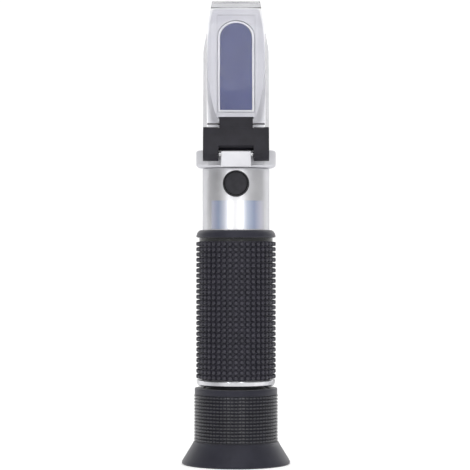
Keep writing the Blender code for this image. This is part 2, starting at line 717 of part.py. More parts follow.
def make_adjuster(finish):
    """Captive zero screw with its bush and clip. Its axis runs along Y, square to the tube."""
    def on_axis(distance):
        return Vector((0, -distance, adjuster_height))

    bush_end = adjuster_face - BUSH_LENGTH
    bore = SCREW_RADIUS + PIN_GAP
    bush = rod("adjuster_bush", BUSH_RADIUS, on_axis(adjuster_face), on_axis(bush_end), finish["brass"])
    counterbore = rod("counterbore_cutter", COUNTERBORE_RADIUS,
                      on_axis(adjuster_face + OVERRUN), on_axis(adjuster_face - COUNTERBORE_DEPTH))
    through = rod("bush_bore_cutter", bore, on_axis(adjuster_face), on_axis(bush_end - OVERRUN))
    cut(bush, counterbore, through)

    head_bottom = adjuster_face - COUNTERBORE_DEPTH + PIN_GAP
    head_top = head_bottom + SCREW_HEAD_HEIGHT
    tip = cell_bore + SCREW_TIP_INSET
    screw = rod("adjuster_screw", SCREW_RADIUS, on_axis(head_top), on_axis(tip), finish["steel"])
    head = rod("screw_head_helper", COUNTERBORE_RADIUS - GAP, on_axis(head_top), on_axis(head_bottom))
    slot_reach = COUNTERBORE_RADIUS + OVERRUN
    slot = box(
        "screw_slot_cutter",
        (-slot_reach, -head_top - OVERRUN, adjuster_height - SLOT_WIDTH / 2),
        (slot_reach, -head_top + SLOT_DEPTH, adjuster_height + SLOT_WIDTH / 2),
    )
    combine(screw, head, "UNION")
    cut(screw, slot)

    clip_outer = bush_end - PIN_GAP
    clip = rod("adjuster_clip", CLIP_RADIUS, on_axis(clip_outer), on_axis(clip_outer - CLIP_THICKNESS),
               finish["steel"])
    clip_bore = rod("clip_bore_cutter", bore, on_axis(clip_outer + OVERRUN), on_axis(clip_outer - OVERRUN))
    cut(clip, clip_bore)
    return bush, screw, clip


def make_adjuster_cap(finish):
    """Rubber cap pressed over the bush, its underside saddled to the tube."""
    inside = adjuster_face + GAP
    outside = inside + CAP_THICKNESS
    edge = outside - CAP_BEVEL
    profile = [(0, 0), (CAP_RADIUS, 0), (CAP_RADIUS, edge), (CAP_RADIUS - CAP_BEVEL, outside), (0, outside)]
    cap = turned("adjuster_cap", profile, finish["rubber"], SMALL_STEPS + SMALL_STEPS // 2)
    cap.data.transform(Matrix.Rotation(math.radians(90), 4, "X"))
    cap.data.transform(Matrix.Translation((0, 0, adjuster_height)))
    saddle = turned(
        "cap_saddle_cutter",
        [
            (0, adjuster_height - CAP_RADIUS - OVERRUN),
            (TUBE_RADIUS + GAP, adjuster_height - CAP_RADIUS - OVERRUN),
            (TUBE_RADIUS + GAP, adjuster_height + CAP_RADIUS + OVERRUN),
            (0, adjuster_height + CAP_RADIUS + OVERRUN),
        ],
    )
    recess = rod("cap_recess_cutter", BUSH_RADIUS + GAP, (0, 0, adjuster_height), (0, -inside, adjuster_height))
    return cut(cap, saddle, recess)


def make_label(finish):
    """Foil wrapped round the bare tube just above the grip."""
    inner = TUBE_RADIUS + GAP
    outer = inner + LABEL_THICKNESS
    front = -math.pi / 2
    outline = []
    for radius, steps in [(inner, range(LABEL_STEPS + 1)), (outer, range(LABEL_STEPS, -1, -1))]:
        for i in steps:
            degrees = -LABEL_LEFT_DEGREES + (LABEL_LEFT_DEGREES + LABEL_RIGHT_DEGREES) * i / LABEL_STEPS
            angle = front + math.radians(degrees)
            outline.append((radius * math.cos(angle), radius * math.sin(angle), grip_top + GAP))
    return extruded("foil_label", outline, (0, 0, LABEL_HEIGHT), finish["foil"])


def make_prism_head(finish):
    """Collar, sloping half-round head and hinge boss in one casting."""
    spigot_bottom = collar_bottom - HEAD_SPIGOT_LENGTH
    profile = [
        (0, spigot_bottom),
        (sliding_radius, spigot_bottom),
        (sliding_radius, collar_bottom),
        (collar_radius - COLLAR_BEVEL, collar_bottom),
        (collar_radius, collar_bottom + COLLAR_BEVEL),
        (collar_radius, collar_top - COLLAR_BEVEL),
        (collar_radius - COLLAR_BEVEL, collar_top),
        (head_radius, collar_top),
        (head_radius, head_top - HEAD_TIP_BEVEL),
        (head_radius - HEAD_TIP_BEVEL, head_top),
        (0, head_top),
    ]
    head = turned("prism_head", profile, finish["satin"])
    reach = HEAD_HEIGHT + COLLAR_HEIGHT
    side = collar_radius + OVERRUN
    slope = slope_slab("slope_cutter", [(-side, -reach), (side, -reach), (side, reach), (-side, reach)], 0, reach)
    flat_face = pin_depth + KNUCKLE_RADIUS + GAP
    ledge = collar_bottom + HINGE_LEDGE_HEIGHT
    flat = box("hinge_flat_cutter", (-side, -side - OVERRUN, ledge), (side, flat_face, slope_crossing))
    bore = rod(
        "head_bore_cutter", head_bore,
        (0, 0, spigot_bottom - OVERRUN), (0, 0, prism_foot - GAP), steps=ROUND_STEPS,
    )
    combine(head, slope, "DIFFERENCE")
    combine(head, flat, "DIFFERENCE")
    combine(head, boss_helper(), "UNION")
    cut(head, bore, prism_shape("prism_pocket_cutter", GAP, OVERRUN))
    seat = slope_slab("seal_seat_cutter", seal_outline(SEAL_WIDTH + 2 * GAP), -SEAL_DEPTH - GAP, OVERRUN)
    pin_hole = rod(
        "boss_pin_cutter", HINGE_PIN_RADIUS + PIN_GAP,
        (-BOSS_HALF_WIDTH - OVERRUN, pin_depth, pin_height), (BOSS_HALF_WIDTH + OVERRUN, pin_depth, pin_height),
    )
    return cut(head, seat, pin_hole)


def boss_helper():
    """Block between the hinge's legs, flat in front and rounded over its top front edge."""
    front = pin_depth - BOSS_FRONT
    top = pin_height + BOSS_TOP
    outline = [(0, collar_bottom), (front, collar_bottom)]
    for i in range(ARC_STEPS // 2 + 1):
        turn = math.pi / 2 * i / (ARC_STEPS // 2)
        outline.append((
            front + BOSS_ROUND * (1 - math.cos(turn)),
            top - BOSS_ROUND * (1 - math.sin(turn)),
        ))
    outline.append((0, top))
    points = [(-BOSS_HALF_WIDTH, y, z) for y, z in outline]
    return extruded("hinge_boss_helper", points, (2 * BOSS_HALF_WIDTH, 0, 0))


def seal_outline(grow):
    return arched_outline(PRISM_HALF_WIDTH + grow, -PRISM_LOW_END - grow, PRISM_HIGH_END + grow)


def prism_shape(name, grow, proud, material=None):
    """The glass wedge, or with grow and proud the pocket that takes it."""
    low = on_slope(0, -PRISM_LOW_END - grow, 0)
    high = on_slope(0, PRISM_HIGH_END + grow, 0)
    foot = prism_foot - grow
    foot_front = -PRISM_FOOT_FRONT - grow
    shelf = low + slope_out * ((foot_front - low.y) / slope_out.y)
    back = PRISM_BACK + grow
    face = [low, high]
    if proud:
        face = [low, low + slope_out * proud, high + slope_out * proud, high]
    outline = [(point.y, point.z) for point in face]
    outline += [(back, high.z), (back, foot), (foot_front, foot), (foot_front, shelf.z)]
    half = PRISM_HALF_WIDTH + grow
    wide = half + OVERRUN
    body = extruded(name, [(-wide, y, z) for y, z in outline], (2 * wide, 0, 0), material)
    arch = slope_slab(name + "_arch_helper", arched_outline(half, -HEAD_HEIGHT, PRISM_HIGH_END + grow),
                      -HEAD_HEIGHT, HEAD_HEIGHT)
    return combine(body, arch, "INTERSECT")


def make_prism(finish):
    prism = prism_shape("main_prism", 0, 0, finish["blue_glass"])
    seal = slope_slab("prism_seal", seal_outline(GAP + SEAL_WIDTH), -SEAL_DEPTH, 0, finish["seal"])
    inside = slope_slab("seal_inside_cutter", seal_outline(GAP), -SEAL_DEPTH - OVERRUN, OVERRUN)
    cut(seal, inside)
    lock_top = prism_foot - 2 * GAP
    lock_outer = head_bore - GAP
    lock = ring("prism_lock_ring", lock_outer - PRISM_RING_WIDTH, lock_outer, lock_top - PRISM_RING_HEIGHT,
                lock_top, finish["anodised"])
    return [prism, seal, lock]


def make_hinge_pin(finish):
    reach = lid_half_width - HINGE_PIN_INSET
    return rod("hinge_pin", HINGE_PIN_RADIUS, (-reach, pin_depth, pin_height), (reach, pin_depth, pin_height),
               finish["steel"])


def make_hinge_bracket(finish):
    """Black fork that carries the lid: two legs round the boss and a tongue set into the lid."""
    top = -LID_LOW_END - GAP
    top_front = on_slope(0, top, lid_outside)
    top_back = on_slope(0, top, lid_inside)
    back = pin_depth + KNUCKLE_RADIUS
    kink = top_back + slope_along * ((back - top_back.y) / slope_along.y)
    outline = [(top_front.y, top_front.z), (top_back.y, top_back.z), (kink.y, kink.z)]
    sweep = math.pi + slope_angle
    for i in range(ARC_STEPS + 1):
        turn = -sweep * i / ARC_STEPS
        outline.append((
            pin_depth + KNUCKLE_RADIUS * math.cos(turn),
            pin_height + KNUCKLE_RADIUS * math.sin(turn),
        ))
    bracket = extruded(
        "hinge_bracket", [(-lid_half_width, y, z) for y, z in outline], (2 * lid_half_width, 0, 0),
        finish["plastic"],
    )
    tongue_top = -LID_LOW_END + TONGUE_LENGTH
    tongue = slope_slab("tongue_helper", [
        (-TONGUE_HALF_WIDTH, top - OVERRUN), (TONGUE_HALF_WIDTH, top - OVERRUN),
        (TONGUE_HALF_WIDTH, tongue_top), (-TONGUE_HALF_WIDTH, tongue_top),
    ], lid_inside, lid_outside)
    notch = bracket_notch_cutter()
    hole_reach = lid_half_width + OVERRUN
    hole = rod("bracket_pin_cutter", HINGE_PIN_RADIUS + PIN_GAP,
               (-hole_reach, pin_depth, pin_height), (hole_reach, pin_depth, pin_height))
    combine(bracket, tongue, "UNION")
    return cut(bracket, notch, hole)


def bracket_notch_cutter():
    """Room for the boss: level over it, and rising to a stop face that meets its front when the lid is open."""
    reach = KNUCKLE_RADIUS + OVERRUN
    stop = BOSS_FRONT + OPEN_LID_GAP
    lean = LID_OPENING - math.pi / 2
    stop_start = (stop - math.cos(lean) * NOTCH_TOP) / math.sin(lean)
    stop_end = (stop + math.sin(lean) * reach) / math.cos(lean)
    outline = [(-reach, -reach), (reach, -reach), (reach, NOTCH_TOP), (stop_start, NOTCH_TOP), (-reach, stop_end)]
    points = [(-notch_half_width, pin_depth + y, pin_height + z) for y, z in outline]
    return extruded("bracket_notch_cutter", points, (2 * notch_half_width, 0, 0))


def make_lid_plate(finish):
    """Clear plate with side wings over the head, a raised pad over the prism and a notch for the tongue."""
    notch_half = TONGUE_HALF_WIDTH + GAP
    notch_top = -LID_LOW_END + TONGUE_LENGTH + GAP
    outline = [
        (-lid_half_width, -LID_LOW_END),
        (-notch_half, -LID_LOW_END),
        (-notch_half, notch_top),
        (notch_half, notch_top),
        (notch_half, -LID_LOW_END),
        (lid_half_width, -LID_LOW_END),
        (lid_half_width, LID_TAPER_START),
        (LID_TIP_HALF_WIDTH, LID_HIGH_END),
        (-LID_TIP_HALF_WIDTH, LID_HIGH_END),
        (-lid_half_width, LID_TAPER_START),
    ]
    deepest = lid_inside - WING_DEPTH
    plate = slope_slab("lid_plate", outline, deepest, lid_outside, finish["acrylic"])
    lip_start = LID_HIGH_END - LIP_THICKNESS
    wing_inner = lid_half_width - WING_WALL
    wide = lid_half_width + OVERRUN
    below = -LID_LOW_END - OVERRUN
    hollow = slope_slab("lid_hollow_cutter", [
        (-wing_inner, below), (wing_inner, below), (wing_inner, lip_start), (-wing_inner, lip_start),
    ], deepest - OVERRUN, lid_inside)
    trim = slope_slab("lip_trim_cutter", [
        (-wide, lip_start - OVERRUN), (wide, lip_start - OVERRUN),
        (wide, LID_HIGH_END + OVERRUN), (-wide, LID_HIGH_END + OVERRUN),
    ], deepest - 2 * OVERRUN, lid_inside - LIP_DEPTH)
    cut(plate, hollow, trim)
    pad_low = notch_top + GAP
    pad = slope_slab("pad_helper", [
        (-PAD_HALF_WIDTH, pad_low), (PAD_HALF_WIDTH, pad_low),
        (PAD_HALF_WIDTH, PAD_HIGH_END), (-PAD_HALF_WIDTH, PAD_HIGH_END),
    ], lid_inside - PAD_THICKNESS, lid_inside + LID_THICKNESS / 2)
    return combine(plate, pad, "UNION")


def bake_cuts():
    """Applies the Booleans, takes their helpers away and keeps the corners that they left sharp."""
    graph = bpy.context.evaluated_depsgraph_get()
    shaped = [piece for piece in bpy.data.objects if piece.modifiers and not piece.hide_render]
    meshes = [bpy.data.meshes.new_from_object(piece.evaluated_get(graph)) for piece in shaped]
    for piece, mesh in zip(shaped, meshes):
        piece.modifiers.clear()
        piece.data = mesh
        mesh.set_sharp_from_angle(angle=SHARP_ANGLE)
    for helper in [piece for piece in bpy.data.objects if piece.hide_render]:
        bpy.data.objects.remove(helper)


def carry(name, place, pieces):
    """Hangs moving pieces on an empty that stands on their joint's axis."""
    holder = bpy.data.objects.new(name, None)
    holder.location = place
    bpy.context.scene.collection.objects.link(holder)
    for piece in pieces:
        piece.parent = holder
        piece.matrix_parent_inverse = Matrix.Translation(place).inverted()
    return holder


def main():
    clear_scene()
    finish = make_materials()
    make_main_tube(finish)
    make_grip(finish)
    make_rear_ring(finish)
    make_label(finish)
    make_guide_screw(finish)
    make_reticle(finish)
    make_light_stop(finish)
    make_cell_carrier(finish)
    make_bimetal_strip(finish)
    make_prism_head(finish)
    make_prism(finish)
    make_hinge_pin(finish)
    make_return_spring(finish)

    bush, screw, clip = make_adjuster(finish)
    adjuster_place = Vector((0, -adjuster_face, adjuster_height))
    carry("adjuster_screw_axis", adjuster_place, [screw, clip])
    carry("adjuster_cap_axis", adjuster_place, [make_adjuster_cap(finish)])
    carry("lens_cell_axis", Vector((0, 0, adjuster_height)), make_lens_cell(finish))

    pin_place = Vector((0, pin_depth, pin_height))
    carry("lid_hinge_axis", pin_place, [make_hinge_bracket(finish), make_lid_plate(finish)])

    focus_place = Vector((0, 0, barrel_shoulder))
    eyepiece = [make_eyecup(finish), make_eyepiece_barrel(finish), *make_eyepiece_glass(finish)]
    slide = carry("focus_slide_axis", focus_place, [make_focus_seal(finish)])
    turn = carry("eyepiece_turn_axis", focus_place, eyepiece)
    turn.parent = slide
    turn.matrix_parent_inverse = Matrix.Translation(focus_place).inverted()
    bake_cuts()

    print("pin axis y", round(pin_depth / MM, 3), "z", round(pin_height / MM, 3))
    print("adjuster z", round(adjuster_height / MM, 3), "face y", round(-adjuster_face / MM, 3))
    print("slope crossing z", round(slope_crossing / MM, 3), "collar bottom z", round(collar_bottom / MM, 3))


main()
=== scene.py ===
from math import atan, cos, radians, sin, tan

import bpy
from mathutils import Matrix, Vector


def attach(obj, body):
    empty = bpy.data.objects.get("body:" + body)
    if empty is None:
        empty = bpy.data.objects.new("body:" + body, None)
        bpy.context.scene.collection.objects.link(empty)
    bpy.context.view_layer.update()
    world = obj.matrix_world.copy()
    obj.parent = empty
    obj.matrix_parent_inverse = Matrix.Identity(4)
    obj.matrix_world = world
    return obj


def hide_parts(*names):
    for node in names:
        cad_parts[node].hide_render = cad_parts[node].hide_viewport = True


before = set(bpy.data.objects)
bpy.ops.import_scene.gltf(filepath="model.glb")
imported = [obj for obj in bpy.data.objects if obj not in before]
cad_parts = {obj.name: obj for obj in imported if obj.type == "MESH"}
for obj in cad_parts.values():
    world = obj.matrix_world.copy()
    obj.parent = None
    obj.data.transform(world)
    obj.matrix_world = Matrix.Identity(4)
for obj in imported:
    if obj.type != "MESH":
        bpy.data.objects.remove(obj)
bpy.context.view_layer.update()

mm = 0.001
print("Packed model loaded")

# Points nearer than these, in mm, are joined: on turned seams, on plane cuts and after Booleans
joins = {"seam": 0.002, "cut": 0.001, "fault": 0.004}

# The slope of the lid and prism: crossing is its height on the tube's axis, in mm
slope = {"angle": radians(19.5), "crossing": 146.0}
slopeUp = Vector((0, sin(slope["angle"]), cos(slope["angle"])))
slopeOut = Vector((0, -cos(slope["angle"]), sin(slope["angle"])))


def clearSelection():
    if bpy.context.object and bpy.context.object.mode != "OBJECT":
        bpy.ops.object.mode_set(mode="OBJECT")
    bpy.ops.object.select_all(action="DESELECT")


def workOn(piece):
    clearSelection()
    bpy.context.view_layer.objects.active = piece
    piece.select_set(True)


def nameNew(name):
    # the object that an operator has just added, moved into its mesh
    piece = bpy.context.object
    piece.name = name
    piece.data.name = name
    bpy.ops.object.transform_apply(location=True, rotation=True, scale=True)
    return piece


def editAll(piece):
    workOn(piece)
    bpy.ops.object.mode_set(mode="EDIT")
    bpy.ops.mesh.select_all(action="SELECT")


def endEdit():
    bpy.ops.object.mode_set(mode="OBJECT")


def addBox(name, low, high):
    clearSelection()
    middle = [(a + b) / 2 * mm for a, b in zip(low, high)]
    size = [(b - a) * mm for a, b in zip(low, high)]
    bpy.ops.mesh.primitive_cube_add(size=1, location=middle, scale=size)
    return nameNew(name)


def addRod(name, radius, start, end, sides=64):
    clearSelection()
    start, end = Vector(start) * mm, Vector(end) * mm
    run = end - start
    bpy.ops.mesh.primitive_cylinder_add(
        vertices=sides, radius=radius * mm, depth=run.length, location=(start + end) / 2,
        rotation=run.to_track_quat("Z", "Y").to_euler())
    return nameNew(name)


def turnPiece(name, rings, sides, turn=0.0):
    # a circle is extruded and resized from ring to ring, (radius, height) in mm
    clearSelection()
    radius, height = rings[0]
    bpy.ops.mesh.primitive_circle_add(
        vertices=sides, radius=radius * mm, location=(0, 0, height * mm), rotation=(0, 0, turn))
    piece = nameNew(name)
    editAll(piece)
    for (oldRadius, oldHeight), (newRadius, newHeight) in zip(rings, rings[1:]):
        lift = (0, 0, (newHeight - oldHeight) * mm)
        bpy.ops.mesh.extrude_region_move(TRANSFORM_OT_translate={"value": lift})
        share = newRadius / oldRadius
        bpy.ops.transform.resize(value=(share, share, 1), center_override=(0, 0, newHeight * mm))
    bpy.ops.mesh.select_all(action="SELECT")
    bpy.ops.mesh.remove_doubles(threshold=joins["seam"] * mm)
    bpy.ops.mesh.fill_holes(sides=0)
    bpy.ops.mesh.select_all(action="SELECT")
    bpy.ops.mesh.normals_make_consistent(inside=False)
    endEdit()
    return piece


def chop(piece, point, outward):
    # cuts off what lies beyond a plane and closes the cut
    editAll(piece)
    bpy.ops.mesh.bisect(
        plane_co=point, plane_no=Vector(outward).normalized(), use_fill=True, clear_outer=True,
        threshold=joins["cut"] * mm)
    endEdit()


def carve(piece, tool, operation="DIFFERENCE"):
    workOn(piece)
    change = piece.modifiers.new("carve", "BOOLEAN")
    change.operation = operation
    change.object = tool
    bpy.ops.object.modifier_apply(modifier=change.name)
    bpy.data.objects.remove(tool)
    return piece


def soften(piece, width, segments=2, angle=30):
    # rounds the sharp edges by a small width in mm
    workOn(piece)
    edges = piece.modifiers.new("softEdges", "BEVEL")
    edges.width = width * mm
    edges.segments = segments
    edges.limit_method = "ANGLE"
    edges.angle_limit = radians(angle)
    bpy.ops.object.modifier_apply(modifier=edges.name)


def smooth(piece, angle=35):
    workOn(piece)
    bpy.ops.object.shade_smooth_by_angle(angle=radians(angle))


def subdivide(piece, levels):
    workOn(piece)
    finer = piece.modifiers.new("finer", "SUBSURF")
    finer.levels = levels
    finer.render_levels = levels
    bpy.ops.object.modifier_apply(modifier=finer.name)


def heal(piece):
    # closes the small faults that Booleans leave
    editAll(piece)
    bpy.ops.mesh.remove_doubles(threshold=joins["fault"] * mm)
    bpy.ops.mesh.dissolve_degenerate(threshold=joins["fault"] * mm)
    bpy.ops.mesh.delete_loose(use_verts=True, use_edges=True, use_faces=False)
    bpy.ops.mesh.select_all(action="SELECT")
    bpy.ops.mesh.fill_holes(sides=0)
    bpy.ops.mesh.select_all(action="SELECT")
    bpy.ops.mesh.normals_make_consistent(inside=False)
    endEdit()


def layOnSlope(piece):
    # pieces of the slope are modelled upright, facing -Y, and then leaned back
    workOn(piece)
    piece.rotation_euler.x = -slope["angle"]
    piece.location.z = slope["crossing"] * mm
    bpy.ops.object.transform_apply(location=True, rotation=True, scale=True)
    return piece


def onSlope(along, out):
    return Vector((0, 0, slope["crossing"] * mm)) + slopeUp * along * mm + slopeOut * out * mm


def pickFaces(piece, wanted):
    workOn(piece)
    bpy.ops.object.mode_set(mode="EDIT")
    bpy.ops.mesh.select_mode(type="FACE")
    bpy.ops.mesh.select_all(action="DESELECT")
    bpy.ops.object.mode_set(mode="OBJECT")
    for face in piece.data.polygons:
        face.select = wanted(face)
    bpy.ops.object.mode_set(mode="EDIT")


# A face grows a knob when it looks this much outwards and has at least this area, in square mm
knobFace = {"outwards": 0.9, "area": 0.6}


def raiseKnobs(piece, low, high, steps):
    # every side face between two heights grows a knob: (inset, rise) in mm
    def isSide(face):
        if not low < face.center.z / mm < high:
            return False
        outward = Vector((face.center.x, face.center.y, 0)).normalized()
        return face.normal.dot(outward) > knobFace["outwards"] and face.area > knobFace["area"] * mm ** 2
    pickFaces(piece, isSide)
    for inset, rise in steps:
        bpy.ops.mesh.inset(thickness=inset * mm, depth=rise * mm, use_individual=True)
    bpy.ops.mesh.select_mode(type="VERT")
    endEdit()


def newMaterial(name):
    material = bpy.data.materials.new(name)
    material.use_nodes = True
    nodes, links = material.node_tree.nodes, material.node_tree.links
    return material, nodes, links, nodes["Principled BSDF"]


def addGrain(nodes, links, shader, scale, strength, distance):
    # fine surface grain in the object's own space
    place = nodes.new("ShaderNodeTexCoord")
    grain = nodes.new("ShaderNodeTexNoise")
    grain.inputs["Scale"].default_value = scale
    grain.inputs["Detail"].default_value = 4
    bump = nodes.new("ShaderNodeBump")
    bump.inputs["Strength"].default_value = strength
    bump.inputs["Distance"].default_value = distance * mm
    links.new(place.outputs["Object"], grain.inputs["Vector"])
    links.new(grain.outputs["Fac"], bump.inputs["Height"])
    links.new(bump.outputs["Normal"], shader.inputs["Normal"])
    return place, grain, bump


def addTones(nodes, links, shader, place, scale, dark, light, low=0.35, high=0.65):
    # slow changes of tone between two colours
    patches = nodes.new("ShaderNodeTexNoise")
    patches.inputs["Scale"].default_value = scale
    patches.inputs["Detail"].default_value = 3
    tones = nodes.new("ShaderNodeValToRGB")
    tones.color_ramp.elements[0].position = low
    tones.color_ramp.elements[0].color = (*dark, 1)
    tones.color_ramp.elements[1].position = high
    tones.color_ramp.elements[1].color = (*light, 1)
    links.new(place.outputs["Object"], patches.inputs["Vector"])
    links.new(patches.outputs["Fac"], tones.inputs["Fac"])
    links.new(tones.outputs["Color"], shader.inputs["Base Color"])
    return patches


def addRoughness(nodes, links, shader, source, low, high):
    spread = nodes.new("ShaderNodeMapRange")
    spread.inputs["To Min"].default_value = low
    spread.inputs["To Max"].default_value = high
    links.new(source.outputs["Fac"], spread.inputs["Value"])
    links.new(spread.outputs["Result"], shader.inputs["Roughness"])


def paintGrooveShade(nodes, links, shader, place, radii, shine, grooveShadeShare):
    # painted shade: full shine on the crests and less towards the bottoms of the grooves, by distance from
    # the tube's axis
    level = nodes.new("ShaderNodeMapping")
    level.inputs["Scale"].default_value = (1, 1, 0)
    links.new(place.outputs["Object"], level.inputs["Vector"])
    reach = nodes.new("ShaderNodeVectorMath")
    reach.operation = "LENGTH"
    links.new(level.outputs["Vector"], reach.inputs[0])
    rise = nodes.new("ShaderNodeMapRange")
    rise.inputs["From Min"].default_value = radii[0] * mm
    rise.inputs["From Max"].default_value = radii[1] * mm
    rise.inputs["To Min"].default_value = shine * grooveShadeShare
    rise.inputs["To Max"].default_value = shine
    links.new(reach.outputs["Value"], rise.inputs["Value"])
    links.new(rise.outputs["Result"], shader.inputs["Specular IOR Level"])


def grainyFinish(name, look):
    material, nodes, links, shader = newMaterial(name)
    shader.inputs["Metallic"].default_value = look["metallic"]
    shader.inputs["Specular IOR Level"].default_value = look.get("shine", 0.5)
    shader.inputs["Specular Tint"].default_value = (*look.get("edge", (1, 1, 1)), 1)
    shader.inputs["Sheen Weight"].default_value = look.get("sheen", 0.0)
    place, grain, bump = addGrain(nodes, links, shader, look["grain"], look["bump"], look["depth"])
    patches = addTones(nodes, links, shader, place, look["patches"], look["dark"], look["light"])
    addRoughness(nodes, links, shader, patches, *look["roughness"])
    # painted shade in the grooves, for the finishes that give groove radii
    if "grooveShadeRadii" in look:
        paintGrooveShade(nodes, links, shader, place, look["grooveShadeRadii"], look["shine"], look["grooveShadeShare"])
    return material


finishes = {
    "satinMetal": grainyFinish("satinMetal", {
        "metallic": 1.0, "dark": (0.74, 0.74, 0.765), "light": (0.80, 0.80, 0.825),
        "edge": (0.66, 0.66, 0.67), "roughness": (0.38, 0.46),
        "grain": 9000, "bump": 0.12, "depth": 0.02, "patches": 160}),
    "blastedMetal": grainyFinish("blastedMetal", {
        "metallic": 0.85, "dark": (0.66, 0.66, 0.69), "light": (0.71, 0.71, 0.74),
        "edge": (0.72, 0.72, 0.73), "roughness": (0.54, 0.62),
        "grain": 8000, "bump": 0.15, "depth": 0.02, "patches": 140}),
    # the milled top of the head, lighter than the blasted metal: partly its own finish and partly painted
    # light, making up for the light that the clear lid holds back
    "milledMetalPaintedLight": grainyFinish("milledMetalPaintedLight", {
        "metallic": 0.6, "dark": (0.88, 0.88, 0.915), "light": (0.92, 0.92, 0.95), "roughness": (0.46, 0.54),
        "grain": 8000, "bump": 0.1, "depth": 0.02, "patches": 140}),
    # its wide dark and light patches are painted reflections of the surroundings on the polished rear ring
    "polishedMetalPaintedReflection": grainyFinish("polishedMetalPaintedReflection", {
        "metallic": 1.0, "dark": (0.40, 0.40, 0.42), "light": (0.74, 0.74, 0.76),
        "edge": (0.7, 0.7, 0.7), "roughness": (0.14, 0.22),
        "grain": 5000, "bump": 0.04, "depth": 0.01, "patches": 110}),
    # its groove radii and share paint shade into the grooves between the knobs
    "gripRubber": grainyFinish("gripRubber", {
        "metallic": 0.0, "shine": 0.42, "dark": (0.023, 0.022, 0.032), "light": (0.030, 0.028, 0.041),
        "grooveShadeRadii": (13.3, 14.1), "grooveShadeShare": 0.7, "roughness": (0.42, 0.52),
        "grain": 5200, "bump": 0.25, "depth": 0.03, "patches": 240}),
    "smoothRubber": grainyFinish("smoothRubber", {
        "metallic": 0.0, "shine": 0.35, "dark": (0.003, 0.003, 0.004), "light": (0.005, 0.005, 0.006),
        "roughness": (0.06, 0.1), "grain": 4200, "bump": 0.02, "depth": 0.01, "patches": 200}),
    # its groove radii and share paint shade into the grooves between the ribs and knobs
    "cupKnobs": grainyFinish("cupKnobs", {
        "metallic": 0.0, "shine": 0.75, "dark": (0.009, 0.009, 0.016), "light": (0.013, 0.013, 0.022),
        "grooveShadeRadii": (14.5, 15.0), "grooveShadeShare": 0.4, "roughness": (0.2, 0.27),
        "grain": 4600, "bump": 0.1, "depth": 0.02, "patches": 180}),
    "cupRubber": grainyFinish("cupRubber", {
        "metallic": 0.0, "shine": 0.15, "sheen": 0.2, "dark": (0.020, 0.020, 0.030),
        "light": (0.026, 0.026, 0.038), "roughness": (0.4, 0.48),
        "grain": 4600, "bump": 0.3, "depth": 0.03, "patches": 180}),
    "capRubber": grainyFinish("capRubber", {
        "metallic": 0.0, "shine": 0.34, "dark": (0.011, 0.011, 0.015), "light": (0.018, 0.017, 0.023),
        "roughness": (0.32, 0.4), "grain": 2600, "bump": 0.4, "depth": 0.04, "patches": 500}),
    "hingePlastic": grainyFinish("hingePlastic", {
        "metallic": 0.0, "shine": 0.25, "dark": (0.013, 0.012, 0.017), "light": (0.018, 0.017, 0.024),
        "roughness": (0.42, 0.52), "grain": 3800, "bump": 0.25, "depth": 0.03, "patches": 260}),
    "blackAnodised": grainyFinish("blackAnodised", {
        "metallic": 0.6, "dark": (0.020, 0.020, 0.022), "light": (0.034, 0.034, 0.037),
        "roughness": (0.36, 0.5), "grain": 7000, "bump": 0.1, "depth": 0.01, "patches": 260}),
    "turnedSteel": grainyFinish("turnedSteel", {
        "metallic": 1.0, "dark": (0.52, 0.52, 0.54), "light": (0.64, 0.64, 0.66), "roughness": (0.2, 0.34),
        "grain": 6000, "bump": 0.1, "depth": 0.01, "patches": 700}),
    "turnedBrass": grainyFinish("turnedBrass", {
        "metallic": 1.0, "dark": (0.62, 0.46, 0.22), "light": (0.76, 0.58, 0.29), "roughness": (0.22, 0.36),
        "grain": 6000, "bump": 0.1, "depth": 0.01, "patches": 600}),
    "rolledStrip": grainyFinish("rolledStrip", {
        "metallic": 1.0, "dark": (0.52, 0.42, 0.32), "light": (0.66, 0.54, 0.41), "roughness": (0.26, 0.42),
        "grain": 4000, "bump": 0.12, "depth": 0.01, "patches": 900}),
    "whiteSeal": grainyFinish("whiteSeal", {
        "metallic": 0.7, "dark": (0.95, 0.95, 0.98), "light": (0.97, 0.97, 0.99), "roughness": (0.4, 0.48),
        "grain": 3000, "bump": 0.35, "depth": 0.04, "patches": 700}),
    "prismGlass": grainyFinish("prismGlass", {
        "metallic": 0.0, "shine": 0.2, "dark": (0.042, 0.064, 0.27), "light": (0.056, 0.082, 0.33),
        "roughness": (0.04, 0.10), "grain": 900, "bump": 0.02, "depth": 0.01, "patches": 120}),
}


def lensFinish():
    material, nodes, links, shader = newMaterial("lensGlass")
    shader.inputs["Transmission Weight"].default_value = 1.0
    shader.inputs["IOR"].default_value = 1.52
    place, grain, bump = addGrain(nodes, links, shader, 600, 0.01, 0.005)
    patches = addTones(nodes, links, shader, place, 150, (0.90, 0.94, 0.95), (0.96, 0.98, 0.98))
    addRoughness(nodes, links, shader, patches, 0.0, 0.03)
    return material


def lidFinish(name, dark, light):
    material, nodes, links, shader = newMaterial(name)
    shader.inputs["Transmission Weight"].default_value = 0.985
    shader.inputs["IOR"].default_value = 1.4
    shader.inputs["Specular IOR Level"].default_value = 0.25
    place, grain, bump = addGrain(nodes, links, shader, 420, 0.03, 0.01)
    patches = addTones(nodes, links, shader, place, 130, dark, light)
    addRoughness(nodes, links, shader, patches, 0.02, 0.07)
    return material


